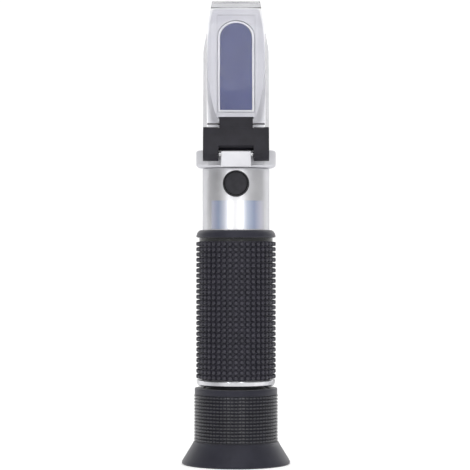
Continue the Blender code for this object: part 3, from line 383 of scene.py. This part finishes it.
def foilFinish():
    # silver foil whose tint runs round the tube, blue at the sides, plain in the middle: painted reflections,
    # standing in for the foil's colours changing with the angle to the lamps
    material, nodes, links, shader = newMaterial("foilPaintedReflection")
    shader.inputs["Metallic"].default_value = 0.85
    place = nodes.new("ShaderNodeTexCoord")
    split = nodes.new("ShaderNodeSeparateXYZ")
    links.new(place.outputs["Object"], split.inputs["Vector"])
    aroundTube = nodes.new("ShaderNodeMapRange")
    aroundTube.inputs["From Min"].default_value = -9.2 * mm
    aroundTube.inputs["From Max"].default_value = 10.4 * mm
    links.new(split.outputs["X"], aroundTube.inputs["Value"])
    paintedReflectionTints = nodes.new("ShaderNodeValToRGB")
    # painted reflection: blue tints at the sides and near white in the middle
    stops = [
        (0.0, (0.62, 0.62, 0.68)), (0.06, (0.56, 0.58, 0.72)), (0.15, (0.44, 0.51, 0.69)),
        (0.28, (0.78, 0.80, 0.88)), (0.42, (0.94, 0.94, 0.96)), (0.58, (0.93, 0.93, 0.95)),
        (0.68, (0.62, 0.68, 0.82)), (0.80, (0.44, 0.50, 0.68)), (0.92, (0.70, 0.70, 0.80)),
        (1.0, (0.72, 0.72, 0.75)),
    ]
    ramp = paintedReflectionTints.color_ramp
    ramp.elements[0].position, ramp.elements[0].color = stops[0][0], (*stops[0][1], 1)
    ramp.elements[1].position, ramp.elements[1].color = stops[-1][0], (*stops[-1][1], 1)
    for at, colour in stops[1:-1]:
        ramp.elements.new(at).color = (*colour, 1)
    links.new(aroundTube.outputs["Result"], paintedReflectionTints.inputs["Fac"])
    dots = nodes.new("ShaderNodeTexVoronoi")
    dots.inputs["Scale"].default_value = 1600
    links.new(place.outputs["Object"], dots.inputs["Vector"])
    flecks = nodes.new("ShaderNodeMix")
    flecks.data_type = "RGBA"
    flecks.blend_type = "SOFT_LIGHT"
    flecks.inputs["Factor"].default_value = 0.03
    links.new(paintedReflectionTints.outputs["Color"], flecks.inputs["A"])
    links.new(dots.outputs["Color"], flecks.inputs["B"])
    links.new(flecks.outputs["Result"], shader.inputs["Base Color"])
    bump = nodes.new("ShaderNodeBump")
    bump.inputs["Strength"].default_value = 0.04
    bump.inputs["Distance"].default_value = 0.01 * mm
    links.new(dots.outputs["Distance"], bump.inputs["Height"])
    links.new(bump.outputs["Normal"], shader.inputs["Normal"])
    spread = nodes.new("ShaderNodeMapRange")
    spread.inputs["To Min"].default_value = 0.28
    spread.inputs["To Max"].default_value = 0.32
    links.new(dots.outputs["Distance"], spread.inputs["Value"])
    links.new(spread.outputs["Result"], shader.inputs["Roughness"])
    return material


finishes["lensGlass"] = lensFinish()
finishes["clearLid"] = lidFinish("clearLid", (0.85, 0.85, 0.88), (0.89, 0.89, 0.91))
# darker copies of the clear lid for the faces seen edge-on and for the tip: painted shade along the plate's
# edges
finishes["lidEdgeShade"] = lidFinish("lidEdgeShade", (0.34, 0.34, 0.36), (0.40, 0.40, 0.42))
finishes["lidTipShade"] = lidFinish("lidTipShade", (0.16, 0.16, 0.17), (0.20, 0.20, 0.21))
finishes["foilPaintedReflection"] = foilFinish()
print("Finishes mixed")


def finishPiece(piece, body, finish, slot, *nodes):
    # gives the piece its finish, hangs it on its body and puts it in place of the plain nodes
    piece.data.materials.clear()
    piece.data.materials.append(finishes[finish])
    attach(piece, body)
    if nodes:
        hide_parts(*nodes)


def finishFaces(piece, finish, wanted):
    # another finish for some of the faces, picked by their middles in mm
    piece.data.materials.append(finishes[finish])
    for face in piece.data.polygons:
        if wanted(face.center / mm):
            face.material_index = len(piece.data.materials) - 1


# Rubber grip: one knob for each of the faces of a turned sleeve
grip = {
    "columns": 42, "rows": 26, "foot": 30.6, "pitch": 1.9, "valley": 13.25, "bore": 12.3,
    "knob": [(0.1, 0.0), (0.03, 0.7), (0.08, 0.29), (0.2, 0.16)],
    "groove": 13.3, "lip": 14.35, "lipRound": 1.9, "lipRise": 2.5, "top": 84.1, "edge": 0.2,
    "grooveFoot": 0.12, "grooveTop": 1.15, "lipFoot": 1.4, "shineFoot": 0.05, "shineTop": 1.3,
}


def makeGrip():
    rowsTop = grip["foot"] + grip["rows"] * grip["pitch"]
    bore, groove, lip, foot, top = (grip[key] for key in ("bore", "groove", "lip", "foot", "top"))
    lipFoot = rowsTop + grip["lipFoot"]
    rings = [(bore, foot + grip["edge"]), (bore + grip["edge"], foot)]
    rings += [(grip["valley"], foot + row * grip["pitch"]) for row in range(grip["rows"] + 1)]
    rings += [(groove, rowsTop + grip["grooveFoot"]), (groove, rowsTop + grip["grooveTop"]),
              (groove + 0.15, lipFoot - 0.08), (lip - 0.1, lipFoot)]
    for angle in (0, 20, 40, 60, 78, 90):
        rings.append((lip - grip["lipRound"] * (1 - cos(radians(angle))),
                      top - grip["lipRise"] * (1 - sin(radians(angle)))))
    rings += [(bore, top - 0.15), (bore, foot + grip["edge"])]
    sleeve = turnPiece("gripSleeve", rings, grip["columns"], radians(180 / grip["columns"]))
    raiseKnobs(sleeve, foot, rowsTop, grip["knob"])
    subdivide(sleeve, 1)
    smooth(sleeve, 60)
    finishPiece(sleeve, "body", "gripRubber", "black_rubber", "grip_sleeve")
    shineTop = rowsTop + grip["shineTop"]
    finishFaces(sleeve, "smoothRubber", lambda middle: rowsTop + grip["shineFoot"] < middle.z < shineTop)
    finishFaces(sleeve, "cupRubber", lambda middle: middle.z > shineTop)


# Eyecup: flare, fine knobs, plain band
cup = {
    "columns": 70, "rows": 14, "rowsFoot": 8.3, "rowsTop": 25.0, "valley": 14.4, "rib": 14.7, "crest": 15.1,
    "groove": 0.24, "knob": [(0.07, 0.0), (0.03, 0.32), (0.05, 0.06), (0.16, 0.025)],
    "rim": 19.5, "band": 14.9, "bore": 12.0, "top": 27.3, "aperture": 9.6, "floor": 9.2, "ribEdge": 0.07,
}


def makeEyecup():
    rim, crest, valley, rib = cup["rim"], cup["crest"], cup["valley"], cup["rib"]
    band, bore, hole, floor = cup["band"], cup["bore"], cup["aperture"], cup["floor"]
    rowsFoot, rowsTop, top = cup["rowsFoot"], cup["rowsTop"], cup["top"]
    pitch = (rowsTop - rowsFoot) / cup["rows"]
    rings = [
        (rim - 1.6, 0.0), (rim - 0.55, 0.0), (rim - 0.1, 0.22), (rim, 0.6),
        (rim - 0.1, 1.05), (rim - 0.5, 1.8),
        (crest + 0.9, rowsFoot - 1.6), (crest + 0.2, rowsFoot - 0.35), (crest - 0.1, rowsFoot - 0.1),
    ]
    for row in range(cup["rows"]):
        low, high = rowsFoot + row * pitch + cup["groove"], rowsFoot + (row + 1) * pitch
        rings += [(valley, low - cup["groove"]), (valley, low),
                  (rib, low + cup["ribEdge"]), (rib, high - cup["ribEdge"])]
    rings += [
        (valley, rowsTop), (band - 0.08, rowsTop + 0.1), (band, rowsTop + 0.25), (band, top - 0.3),
        (band - 0.08, top - 0.08), (band - 0.3, top), (bore + 0.15, top), (bore, top - 0.15),
        (bore, floor + 0.1), (bore - 0.1, floor), (hole + 0.1, floor), (hole, floor - 0.1),
        (hole, floor - 0.8), (hole + 0.15, floor - 1.0), (hole + 2.7, floor - 1.9), (hole + 3.1, floor - 2.1),
        (rim - 1.7, 0.2), (rim - 1.6, 0.0),
    ]
    piece = turnPiece("eyecupRubber", rings, cup["columns"], radians(180 / cup["columns"]))
    raiseKnobs(piece, rowsFoot, rowsTop, cup["knob"])
    smooth(piece, 40)
    finishPiece(piece, "eyepiece", "cupKnobs", "black_rubber", "eyecup")
    finishFaces(piece, "cupRubber", lambda middle: not rowsFoot <= middle.z <= rowsTop)


# Main tube, its polished rear ring and the foil on its front
tube = {
    "outer": 12.0, "bore": 10.6, "foot": 29.0, "top": 106.0, "edge": 0.18, "beyond": 15,
    "screwHeight": 100.7, "screwHole": 3.1, "guideHeight": 37.8, "guideHole": 0.95,
}


def makeTube():
    outer, bore, foot, top = (tube[key] for key in ("outer", "bore", "foot", "top"))
    rings = [(bore, foot), (outer, foot), (outer, top), (bore, top), (bore, foot)]
    piece = turnPiece("tubeShell", rings, 160)
    soften(piece, tube["edge"])
    screw, guide, beyond = tube["screwHeight"], tube["guideHeight"], tube["beyond"]
    carve(piece, addRod("bushHole", tube["screwHole"], (0, -beyond, screw), (0, 0, screw)))
    carve(piece, addRod("guideHole", tube["guideHole"], (0, 0, guide), (0, beyond, guide)))
    smooth(piece)
    finishPiece(piece, "body", "satinMetal", "satin_metal", "main_tube")


rearRing = {
    "foot": 28.2, "top": 30.3, "bore": 12.3, "lip": 10.8, "lipTop": 28.7, "edge": 0.12,
    "profile": [(13.25, 28.2), (13.7, 28.42), (14.0, 28.95), (14.15, 29.6), (14.2, 30.05), (14.15, 30.3)],
}


def makeRearRing():
    size = rearRing
    piece = turnPiece("rearRingPolished", [(size["lip"], size["foot"])] + size["profile"] + [
        (size["bore"], size["top"]), (size["bore"], size["lipTop"]),
        (size["lip"], size["lipTop"]), (size["lip"], size["foot"]),
    ], 160)
    soften(piece, size["edge"], 3)
    smooth(piece)
    # the rear ring's finish carries painted reflections in its colour
    finishPiece(piece, "body", "polishedMetalPaintedReflection", "polished_metal", "rear_ring")


# left and right are the foil's ends round the tube, in degrees from its front
foil = {"radius": 12.03, "thickness": 0.12, "foot": 84.4, "top": 94.5, "left": 46.0, "right": 55.5}


def makeFoil():
    # a full ring, cut down to the part that the foil covers
    foot, top, inner = foil["foot"], foil["top"], foil["radius"]
    outer = inner + foil["thickness"]
    rings = [(inner, foot), (outer, foot), (outer, top), (inner, top), (inner, foot)]
    piece = turnPiece("foilWrap", rings, 240)
    left, right = radians(foil["left"]), radians(foil["right"])
    chop(piece, (0, 0, 0), (-cos(left), sin(left), 0))
    chop(piece, (0, 0, 0), (cos(right), sin(right), 0))
    smooth(piece)
    # the foil's colour carries painted reflections
    finishPiece(piece, "body", "foilPaintedReflection", "foil", "foil_label")


# Rubber cap over the zero screw: rim, thin bead and flat face
cap = {
    "radius": 4.7, "bead": 4.1, "front": 13.7, "back": 6.0, "height": 100.7, "drop": 0.2,
    "recess": 3.1, "recessEnd": 12.9, "seat": 0.1, "beadDepth": 0.15, "beadHalf": 0.28,
}


def makeCap():
    outer, bead, front = cap["radius"], cap["bead"], cap["front"]
    screw, middleHeight = cap["height"], cap["height"] - cap["drop"]
    piece = turnPiece("screwCap", [
        (outer, cap["back"]), (outer, front - 0.75), (outer - 0.1, front - 0.5), (outer - 0.28, front - 0.36),
        (bead + 0.27, front - 0.34), (bead + 0.22, front - 0.1), (bead + 0.08, front), (bead - 0.08, front),
        (bead - 0.22, front - 0.1), (bead - 0.3, front - 0.3), (0.4, front - 0.2),
    ], 96)
    workOn(piece)
    piece.rotation_euler.x = radians(90)
    piece.location.z = middleHeight * mm
    bpy.ops.object.transform_apply(location=True, rotation=True, scale=True)
    carve(piece, addRod("saddle", tube["outer"] + cap["seat"], (0, 0, screw - 20), (0, 0, screw + 20), 160))
    carve(piece, addRod("recess", cap["recess"], (0, 0, screw), (0, -cap["recessEnd"], screw)))
    smooth(piece)
    finishPiece(piece, "cap", "capRubber", "black_rubber", "adjuster_cap")
    finishFaces(piece, "smoothRubber", lambda middle: middle.y < cap["beadDepth"] - front and
                abs(Vector((middle.x, middle.z - middleHeight)).length - bead) < cap["beadHalf"])


# Prism head: half-round nose on a collar, hollowed for the prism
head = {
    "radius": 10.3, "bore": 8.8, "foot": 103.9, "boreTop": 118.2, "top": 163.9,
    "collar": 14.3, "collarFoot": 106.3, "collarTop": 112.5, "flat": -9.977, "ledge": 107.0,
    "bossHalf": 5.4, "bossFront": -14.477, "bossTop": 111.9, "bossEdge": 0.35, "bossRoot": 0.8,
    "collarInner": 9.2, "pinHole": 1.05, "pinReach": 8, "milledAndLitFrom": 112.6,
}
prism = {
    "half": 5.6, "low": -20.4, "high": 13.4, "back": 6.0, "foot": 118.5, "footFront": -4.9, "gap": 0.3,
    "footInset": 0.05, "footTop": 130,
    "seal": 0.5, "sealDepth": 0.8, "sealGap": 0.08, "edge": 0.08, "sealEdge": 0.1,
}
# How far cutting pieces reach past what they cut, in mm
past = 20


def addStrip(name, half, low, high, under, over):
    # a bar on the slope with a half-round top end, from out=under to out=over
    piece = addRod(name, half, (0, -over, high - half), (0, -under, high - half), 96)
    bar = addBox("bar", (-half, -over, low), (half, -under, high - half))
    workOn(piece)
    bar.select_set(True)
    bpy.ops.object.join()
    editAll(piece)
    bpy.ops.mesh.convex_hull(use_existing_faces=False)
    bpy.ops.mesh.select_all(action="SELECT")
    bpy.ops.mesh.dissolve_limited(angle_limit=radians(1))
    endEdit()
    return layOnSlope(piece)


def addWedge(name, grow, over):
    size = prism
    half, foot, back = size["half"] + grow, size["foot"] - grow, size["back"] + grow
    piece = addStrip(name, half, size["low"] - grow, size["high"] + grow, -40, over)
    footHalf, front = half - size["footInset"], size["footFront"] - grow
    footBlock = addBox("footBlock", (-footHalf, front, foot - 3), (footHalf, back + 4, size["footTop"]))
    carve(piece, footBlock, "UNION")
    carve(piece, addBox("room", (-past, -past, foot), (past, back, head["top"] + past)), "INTERSECT")
    return piece


def makeHead():
    size = head
    inner, collar = size["collarInner"], size["collar"]
    collarFoot, collarTop = size["collarFoot"], size["collarTop"]
    piece = turnPiece("prismHead", [
        (size["bore"], size["boreTop"]), (size["bore"], size["foot"]), (size["radius"], size["foot"]),
        (size["radius"], size["top"] - 0.6), (size["radius"] - 0.17, size["top"] - 0.17),
        (size["radius"] - 0.6, size["top"]),
    ], 160)
    chop(piece, onSlope(0, 0), slopeOut)
    carve(piece, turnPiece("collarRing", [
        (inner, collarFoot), (collar - 1.1, collarFoot), (collar - 0.75, collarFoot + 0.12),
        (collar - 0.1, collarFoot + 0.75), (collar, collarFoot + 1.2), (collar, collarTop - 0.7),
        (collar - 0.1, collarTop - 0.3), (collar - 0.45, collarTop), (inner, collarTop), (inner, collarFoot),
    ], 160), "UNION")
    carve(piece, addBox("hingeFlat", (-past, -past, size["ledge"]), (past, size["flat"], slope["crossing"])))
    boss = addBox("hingeBoss", (-size["bossHalf"], size["bossFront"], collarFoot),
                  (size["bossHalf"], size["flat"] + size["bossRoot"], size["bossTop"]))
    soften(boss, size["bossEdge"], 3)
    carve(piece, boss, "UNION")
    carve(piece, acrossHinge("pinHole", size["pinHole"], size["pinReach"]))
    gap = prism["gap"]
    border = prism["seal"] + gap * 2
    carve(piece, addWedge("prismPocket", gap, 2))
    carve(piece, addStrip("sealSeat", prism["half"] + border, prism["low"] - border, prism["high"] + border,
                          -prism["sealDepth"] - gap, 2))
    heal(piece)
    smooth(piece)
    finishPiece(piece, "body", "blastedMetal", "satin_metal", "prism_head")
    # above the collar the head takes the lighter milled finish, which is partly painted light
    finishFaces(piece, "milledMetalPaintedLight", lambda middle: middle.z > size["milledAndLitFrom"])


def makePrism():
    piece = addWedge("prismBlue", 0, 0)
    heal(piece)
    soften(piece, prism["edge"])
    smooth(piece)
    finishPiece(piece, "body", "prismGlass", "blue_glass", "main_prism")


def makeSeal():
    half, low, high = prism["half"], prism["low"], prism["high"]
    far, near = prism["gap"] + prism["seal"], prism["sealGap"]
    piece = addStrip("prismSeal", half + far, low - far, high + far, -prism["sealDepth"], 0)
    carve(piece, addStrip("sealInside", half + near, low - near, high + near, -4, 4))
    soften(piece, prism["sealEdge"])
    smooth(piece)
    finishPiece(piece, "body", "whiteSeal", "white_seal", "prism_seal")


# Lid: black bracket on its pin and the clear plate
hinge = {
    "y": -12.677, "z": 110.8, "barrel": 2.4, "half": 11.7, "pin": 0.9, "pinHalf": 11.4, "pinHole": 1.05,
    "notchHalf": 6.2, "notchTop": 113.6, "notchFoot": 104, "notchBack": -5, "openLean": 30, "stop": 1.95,
    "tongueHalf": 5.95, "tongueTop": -24.37, "webFoot": 112.25, "webTop": 114.5, "webSwing": 2.5,
    "webFront": 0.5, "webBack": 2.36, "webRoot": 0.4, "ledgeHalf": 10.2, "ledgeLow": -26.2,
    "ledgeHigh": -25.75, "ledgeUnder": 0.12, "ledgeSink": 0.05, "ledgeRoot": 0.3, "edge": 0.2,
}
lid = {
    "under": 0.6, "over": 2.6, "low": -27.97, "taper": 1.3, "high": 21.4, "half": 11.7, "tipHalf": 8.75,
    "wingInner": 10.45, "wingDepth": 4.0, "lip": 1.9, "lipDepth": 1.2, "padHalf": 6.85, "padHigh": 16.4,
    "padRise": 0.3, "notchHalf": 6.25, "notchTop": -24.07, "edge": 0.3,
    "wingShade": 0.8, "lipShade": -0.3, "tipShade": 0.4,
}


def bossRoom():
    # level over the boss, then rising to the front so that it meets the boss's front when the lid is open
    half, top = hinge["notchHalf"], hinge["notchTop"]
    lean = radians(hinge["openLean"])
    start = hinge["y"] + (hinge["stop"] - cos(lean) * (top - hinge["z"])) / sin(lean)
    room = addBox("notch", (-half, -past, hinge["notchFoot"]), (half, hinge["notchBack"], top))
    editAll(room)
    bpy.ops.mesh.bisect(plane_co=(0, start * mm, 0), plane_no=(0, 1, 0))
    endEdit()
    for corner in room.data.vertices:
        if corner.co.y < (1 - past) * mm and corner.co.z > hinge["z"] * mm:
            corner.co.z += (start + past) * tan(lean) * mm
    return room


def acrossHinge(name, radius, reach):
    # a rod along the hinge's axis
    return addRod(name, radius, (-reach, hinge["y"], hinge["z"]), (reach, hinge["y"], hinge["z"]))


def makeBracket():
    half, inside, outside = hinge["half"], lid["under"], lid["over"]
    back = hinge["y"] + hinge["barrel"]
    piece = addBox("hingeFork", (-half, -past, hinge["z"]), (half, back, hinge["z"] + past))
    chop(piece, onSlope(0, outside), slopeOut)
    chop(piece, onSlope(0, inside), -slopeOut)
    chop(piece, onSlope(lid["low"] - 0.3, 0), slopeUp)
    carve(piece, acrossHinge("barrel", hinge["barrel"], half), "UNION")
    tongue = addBox("tongue", (-hinge["tongueHalf"], -outside, lid["low"] - 2),
                    (hinge["tongueHalf"], -inside, hinge["tongueTop"]))
    carve(piece, layOnSlope(tongue), "UNION")
    # a thin ledge behind the plate, carried by the tongue and standing out on both sides of it
    under, low, high = hinge["ledgeUnder"], hinge["ledgeLow"], hinge["ledgeHigh"]
    root, wide = hinge["tongueHalf"] - hinge["ledgeRoot"], hinge["ledgeHalf"]
    ledgeRoot = addBox("ledgeRoot", (-root, -inside - 1, low + 0.02), (root, -under - 0.02, high - 0.02))
    carve(piece, layOnSlope(ledgeRoot), "UNION")
    ledge = addBox("ledge", (-wide, hinge["ledgeSink"] - inside, low), (wide, -under, high))
    carve(piece, layOnSlope(ledge), "UNION")
    carve(piece, bossRoom())
    # a web behind the boss, hollowed so that it swings clear of it
    reach = hinge["notchHalf"] + hinge["webRoot"]
    web = addBox("web", (-reach, hinge["y"] - hinge["webFront"], hinge["webFoot"]),
                 (reach, hinge["y"] + hinge["webBack"], hinge["webTop"]))
    carve(web, acrossHinge("swing", hinge["webSwing"], half))
    carve(piece, web, "UNION")
    carve(piece, acrossHinge("pinHole", hinge["pinHole"], past))
    heal(piece)
    soften(piece, hinge["edge"])
    smooth(piece)
    finishPiece(piece, "lid", "hingePlastic", "black_plastic", "hinge_bracket")


def makePin():
    piece = acrossHinge("hingeRod", hinge["pin"], hinge["pinHalf"])
    soften(piece, 0.15)
    smooth(piece)
    finishPiece(piece, "body", "turnedSteel", "steel", "hinge_pin")


def makeLid():
    half, under, low, high = (lid[key] for key in ("half", "under", "low", "high"))
    wing, notch, pad, lipFoot = lid["wingInner"], lid["notchHalf"], lid["padHalf"], high - lid["lip"]
    piece = addBox("lidClear", (-half, -lid["over"], low), (half, lid["wingDepth"] - under, high))
    run, step = high - lid["taper"], half - lid["tipHalf"]
    for side in (-1, 1):
        chop(piece, (side * half * mm, 0, lid["taper"] * mm), (side * run, 0, step))
    carve(piece, addBox("hollow", (-wing, -under, low - past), (wing, past, lipFoot)))
    carve(piece, addBox("lipTrim", (-past, lid["lipDepth"] - under, lipFoot - 2), (past, past, high + past)))
    carve(piece, addBox("notch", (-notch, -past, low - past), (notch, past, lid["notchTop"])))
    carve(piece, addBox("pad", (-pad, -under - 1, lid["notchTop"] + 0.3),
                        (pad, lid["padRise"] - under, lid["padHigh"])), "UNION")
    layOnSlope(piece)
    soften(piece, lid["edge"], 3)
    smooth(piece)
    finishPiece(piece, "lid", "clearLid", "clear_acrylic", "lid_plate")
    crossing = Vector((0, 0, slope["crossing"]))

    # the wing and lip faces seen edge-on, and the tip, take darker copies of the clear finish: painted shade
    def isShadedEdge(middle):
        along, out = (middle - crossing).dot(slopeUp), (middle - crossing).dot(slopeOut)
        return out < lid["wingShade"] - lid["wingDepth"] or out < lid["lipShade"] and along > lipFoot
    finishFaces(piece, "lidEdgeShade", isShadedEdge)
    finishFaces(piece, "lidTipShade", lambda middle: (middle - crossing).dot(slopeUp) > high - lid["tipShade"])


makeGrip()
makeEyecup()
print("Rubber pieces moulded")
makeTube()
makeRearRing()
makeFoil()
makeCap()
makeHead()
makePrism()
makeSeal()
print("Tube and head turned")
makeBracket()
makePin()
makeLid()
print("Lid hung on its pin")

# The pieces inside keep their solids and get real finishes
insideFinishes = {
    "guide_screw": "turnedSteel", "reticle_holder": "blackAnodised", "reticle_disc": "lensGlass",
    "reticle_lock_ring": "turnedBrass", "light_stop": "blackAnodised", "cell_carrier": "blackAnodised",
    "bimetal_strip": "rolledStrip", "bimetal_screw": "turnedSteel", "return_spring": "turnedSteel",
    "prism_lock_ring": "blackAnodised", "adjuster_bush": "turnedBrass", "adjuster_screw": "turnedSteel",
    "adjuster_clip": "turnedSteel", "lens_cell": "blackAnodised", "objective_lens": "lensGlass",
    "objective_lock_ring": "turnedBrass", "focus_seal_ring": "gripRubber", "eyepiece_barrel": "blackAnodised",
    "eye_lens": "lensGlass", "eye_lens_lock_ring": "blackAnodised", "lens_spacer": "blackAnodised",
    "field_lens": "lensGlass", "field_lens_lock_ring": "blackAnodised",
}
for node, finish in insideFinishes.items():
    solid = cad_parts[node]
    solid.data.materials.clear()
    solid.data.materials.append(finishes[finish])
print("Inside pieces finished")

# Studio: a white sweep that glows by distance in metres, and air whose brightness changes from left to right
studio = {
    "floor": 3000, "back": 420, "rises": [(10, 60), (35, 60), (80, 55), (140, 45), (900, 20)],
    "glow": [(0.0, 0.3), (0.26, 0.3), (0.4, 0.21), (0.52, 0.21), (0.66, 0.42), (1.4, 0.42), (1.6, 0.0)],
    "glowCentre": (0, 0.2, 0), "glowReach": 1.7,
    "flags": [(0.0, 0.56), (0.008, 0.5), (0.022, 0.24), (0.07, 0.22), (0.12, 0.3), (0.18, 0.48), (0.28, 0.6),
              (0.76, 0.6), (0.88, 0.48), (0.93, 0.38), (0.978, 0.38), (0.992, 0.5), (1.0, 0.55)],
}


def addSteps(nodes, stops):
    # a grey ramp from (position, level) pairs
    steps = nodes.new("ShaderNodeValToRGB")
    ramp = steps.color_ramp
    for element, (at, level) in zip(ramp.elements, (stops[0], stops[-1])):
        element.position, element.color = at, (level, level, level, 1)
    for at, level in stops[1:-1]:
        ramp.elements.new(at).color = (level, level, level, 1)
    return steps


def makeStudio():
    clearSelection()
    middle = studio["back"] - studio["floor"] / 2
    bpy.ops.mesh.primitive_plane_add(size=studio["floor"] * mm, location=(0, middle * mm, 0))
    sweep = nameNew("paleSweep")
    workOn(sweep)
    bpy.ops.object.mode_set(mode="EDIT")
    bpy.ops.mesh.select_mode(type="EDGE")
    bpy.ops.mesh.select_all(action="DESELECT")
    bpy.ops.object.mode_set(mode="OBJECT")
    for edge in sweep.data.edges:
        edge.select = all(sweep.data.vertices[i].co.y > (studio["back"] - 1) * mm for i in edge.vertices)
    bpy.ops.object.mode_set(mode="EDIT")
    for rise, run in studio["rises"]:
        bpy.ops.mesh.extrude_region_move(TRANSFORM_OT_translate={"value": (0, run * mm, rise * mm)})
    bpy.ops.mesh.select_all(action="SELECT")
    bpy.ops.mesh.normals_make_consistent(inside=False)
    bpy.ops.mesh.select_mode(type="VERT")
    endEdit()
    smooth(sweep, 60)
    # the card glows under the object and to its sides, and less behind the clear lid
    material, nodes, links, shader = newMaterial("paleCard")
    place, grain, bump = addGrain(nodes, links, shader, 60, 0.02, 0.1)
    addTones(nodes, links, shader, place, 3, (0.93, 0.93, 0.93), (0.95, 0.95, 0.95))
    shader.inputs["Roughness"].default_value = 0.9
    shader.inputs["Emission Color"].default_value = (1, 1, 1, 1)
    reach = nodes.new("ShaderNodeVectorMath")
    reach.operation = "DISTANCE"
    reach.inputs[1].default_value = studio["glowCentre"]
    links.new(place.outputs["Object"], reach.inputs[0])
    span = nodes.new("ShaderNodeMapRange")
    span.inputs["From Max"].default_value = studio["glowReach"]
    links.new(reach.outputs["Value"], span.inputs["Value"])
    fade = addSteps(nodes, [(at / studio["glowReach"], level) for at, level in studio["glow"]])
    links.new(span.outputs["Result"], fade.inputs["Fac"])
    links.new(fade.outputs["Color"], shader.inputs["Emission Strength"])
    sweep.data.materials.append(material)


# Two narrow lights in front, whose glare the clear pieces don't pass on, two broad ones and a small low one
lights = {
    "stripLeft": {
        "spot": (-345, -880, 240), "aim": (0, 0, 85), "size": (60, 620), "watts": 0.78, "glare": False},
    "stripRight": {
        "spot": (270, -900, 240), "aim": (0, 0, 85), "size": (60, 620), "watts": 0.86, "glare": False},
    "softFront": {"spot": (0, -620, 640), "aim": (0, 0, 130), "size": (700, 500), "watts": 1.75},
    "overhead": {"spot": (0, 0, 900), "aim": (0, 0, 60), "size": (600, 500), "watts": 0.8},
    "lowRight": {
        "spot": (300, 460, 220), "aim": (17, 0, 4), "size": (160, 100), "watts": 0.003, "spread": 14},
}


def addLight(name, look):
    clearSelection()
    spot, aim = Vector(look["spot"]) * mm, Vector(look["aim"]) * mm
    bpy.ops.object.light_add(type="AREA", location=spot)
    light = bpy.context.object
    light.name = name
    light.rotation_euler = (spot - aim).to_track_quat("Z", "Y").to_euler()
    light.visible_transmission = look.get("glare", True)
    light.data.shape = "RECTANGLE"
    light.data.size, light.data.size_y = look["size"][0] * mm, look["size"][1] * mm
    light.data.spread = radians(look.get("spread", 180))
    light.data.energy = look["watts"]


def shadeWorld(nodes, links):
    # the air is darker to the left and right, as with dark flags beside the object
    place = nodes.new("ShaderNodeTexCoord")
    split = nodes.new("ShaderNodeSeparateXYZ")
    links.new(place.outputs["Generated"], split.inputs["Vector"])
    across = nodes.new("ShaderNodeMapRange")
    across.inputs["From Min"].default_value = -1.0
    across.inputs["From Max"].default_value = 1.0
    links.new(split.outputs["X"], across.inputs["Value"])
    flags = addSteps(nodes, studio["flags"])
    links.new(across.outputs["Result"], flags.inputs["Fac"])
    links.new(flags.outputs["Color"], nodes["Background"].inputs["Strength"])


makeStudio()
for name, look in lights.items():
    addLight(name, look)

world = bpy.data.worlds.new("studioAir")
world.use_nodes = True
world.node_tree.nodes["Background"].inputs["Color"].default_value = (1, 1, 1, 1)
shadeWorld(world.node_tree.nodes, world.node_tree.links)
bpy.context.scene.world = world
bpy.context.scene.view_settings.view_transform = "Standard"

# Camera square to the tube; the photograph is 470 pixels wide, 0.36 mm to a pixel on the tube's axis
view = {"pixels": 470, "scale": 0.36, "distance": 738.0, "x": -0.36, "z": 82.26}


def makeCamera():
    clearSelection()
    bpy.ops.object.camera_add(location=(view["x"] * mm, -view["distance"] * mm, view["z"] * mm),
                              rotation=(radians(90), 0, 0))
    camera = bpy.context.object
    camera.name = "photoView"
    halfWidth = view["pixels"] * view["scale"] / 2
    camera.data.angle = 2 * atan(halfWidth / view["distance"])
    camera.data.clip_start = 0.01
    camera.data.clip_end = 20
    bpy.context.scene.camera = camera


makeCamera()
clearSelection()
print("Studio and camera set")
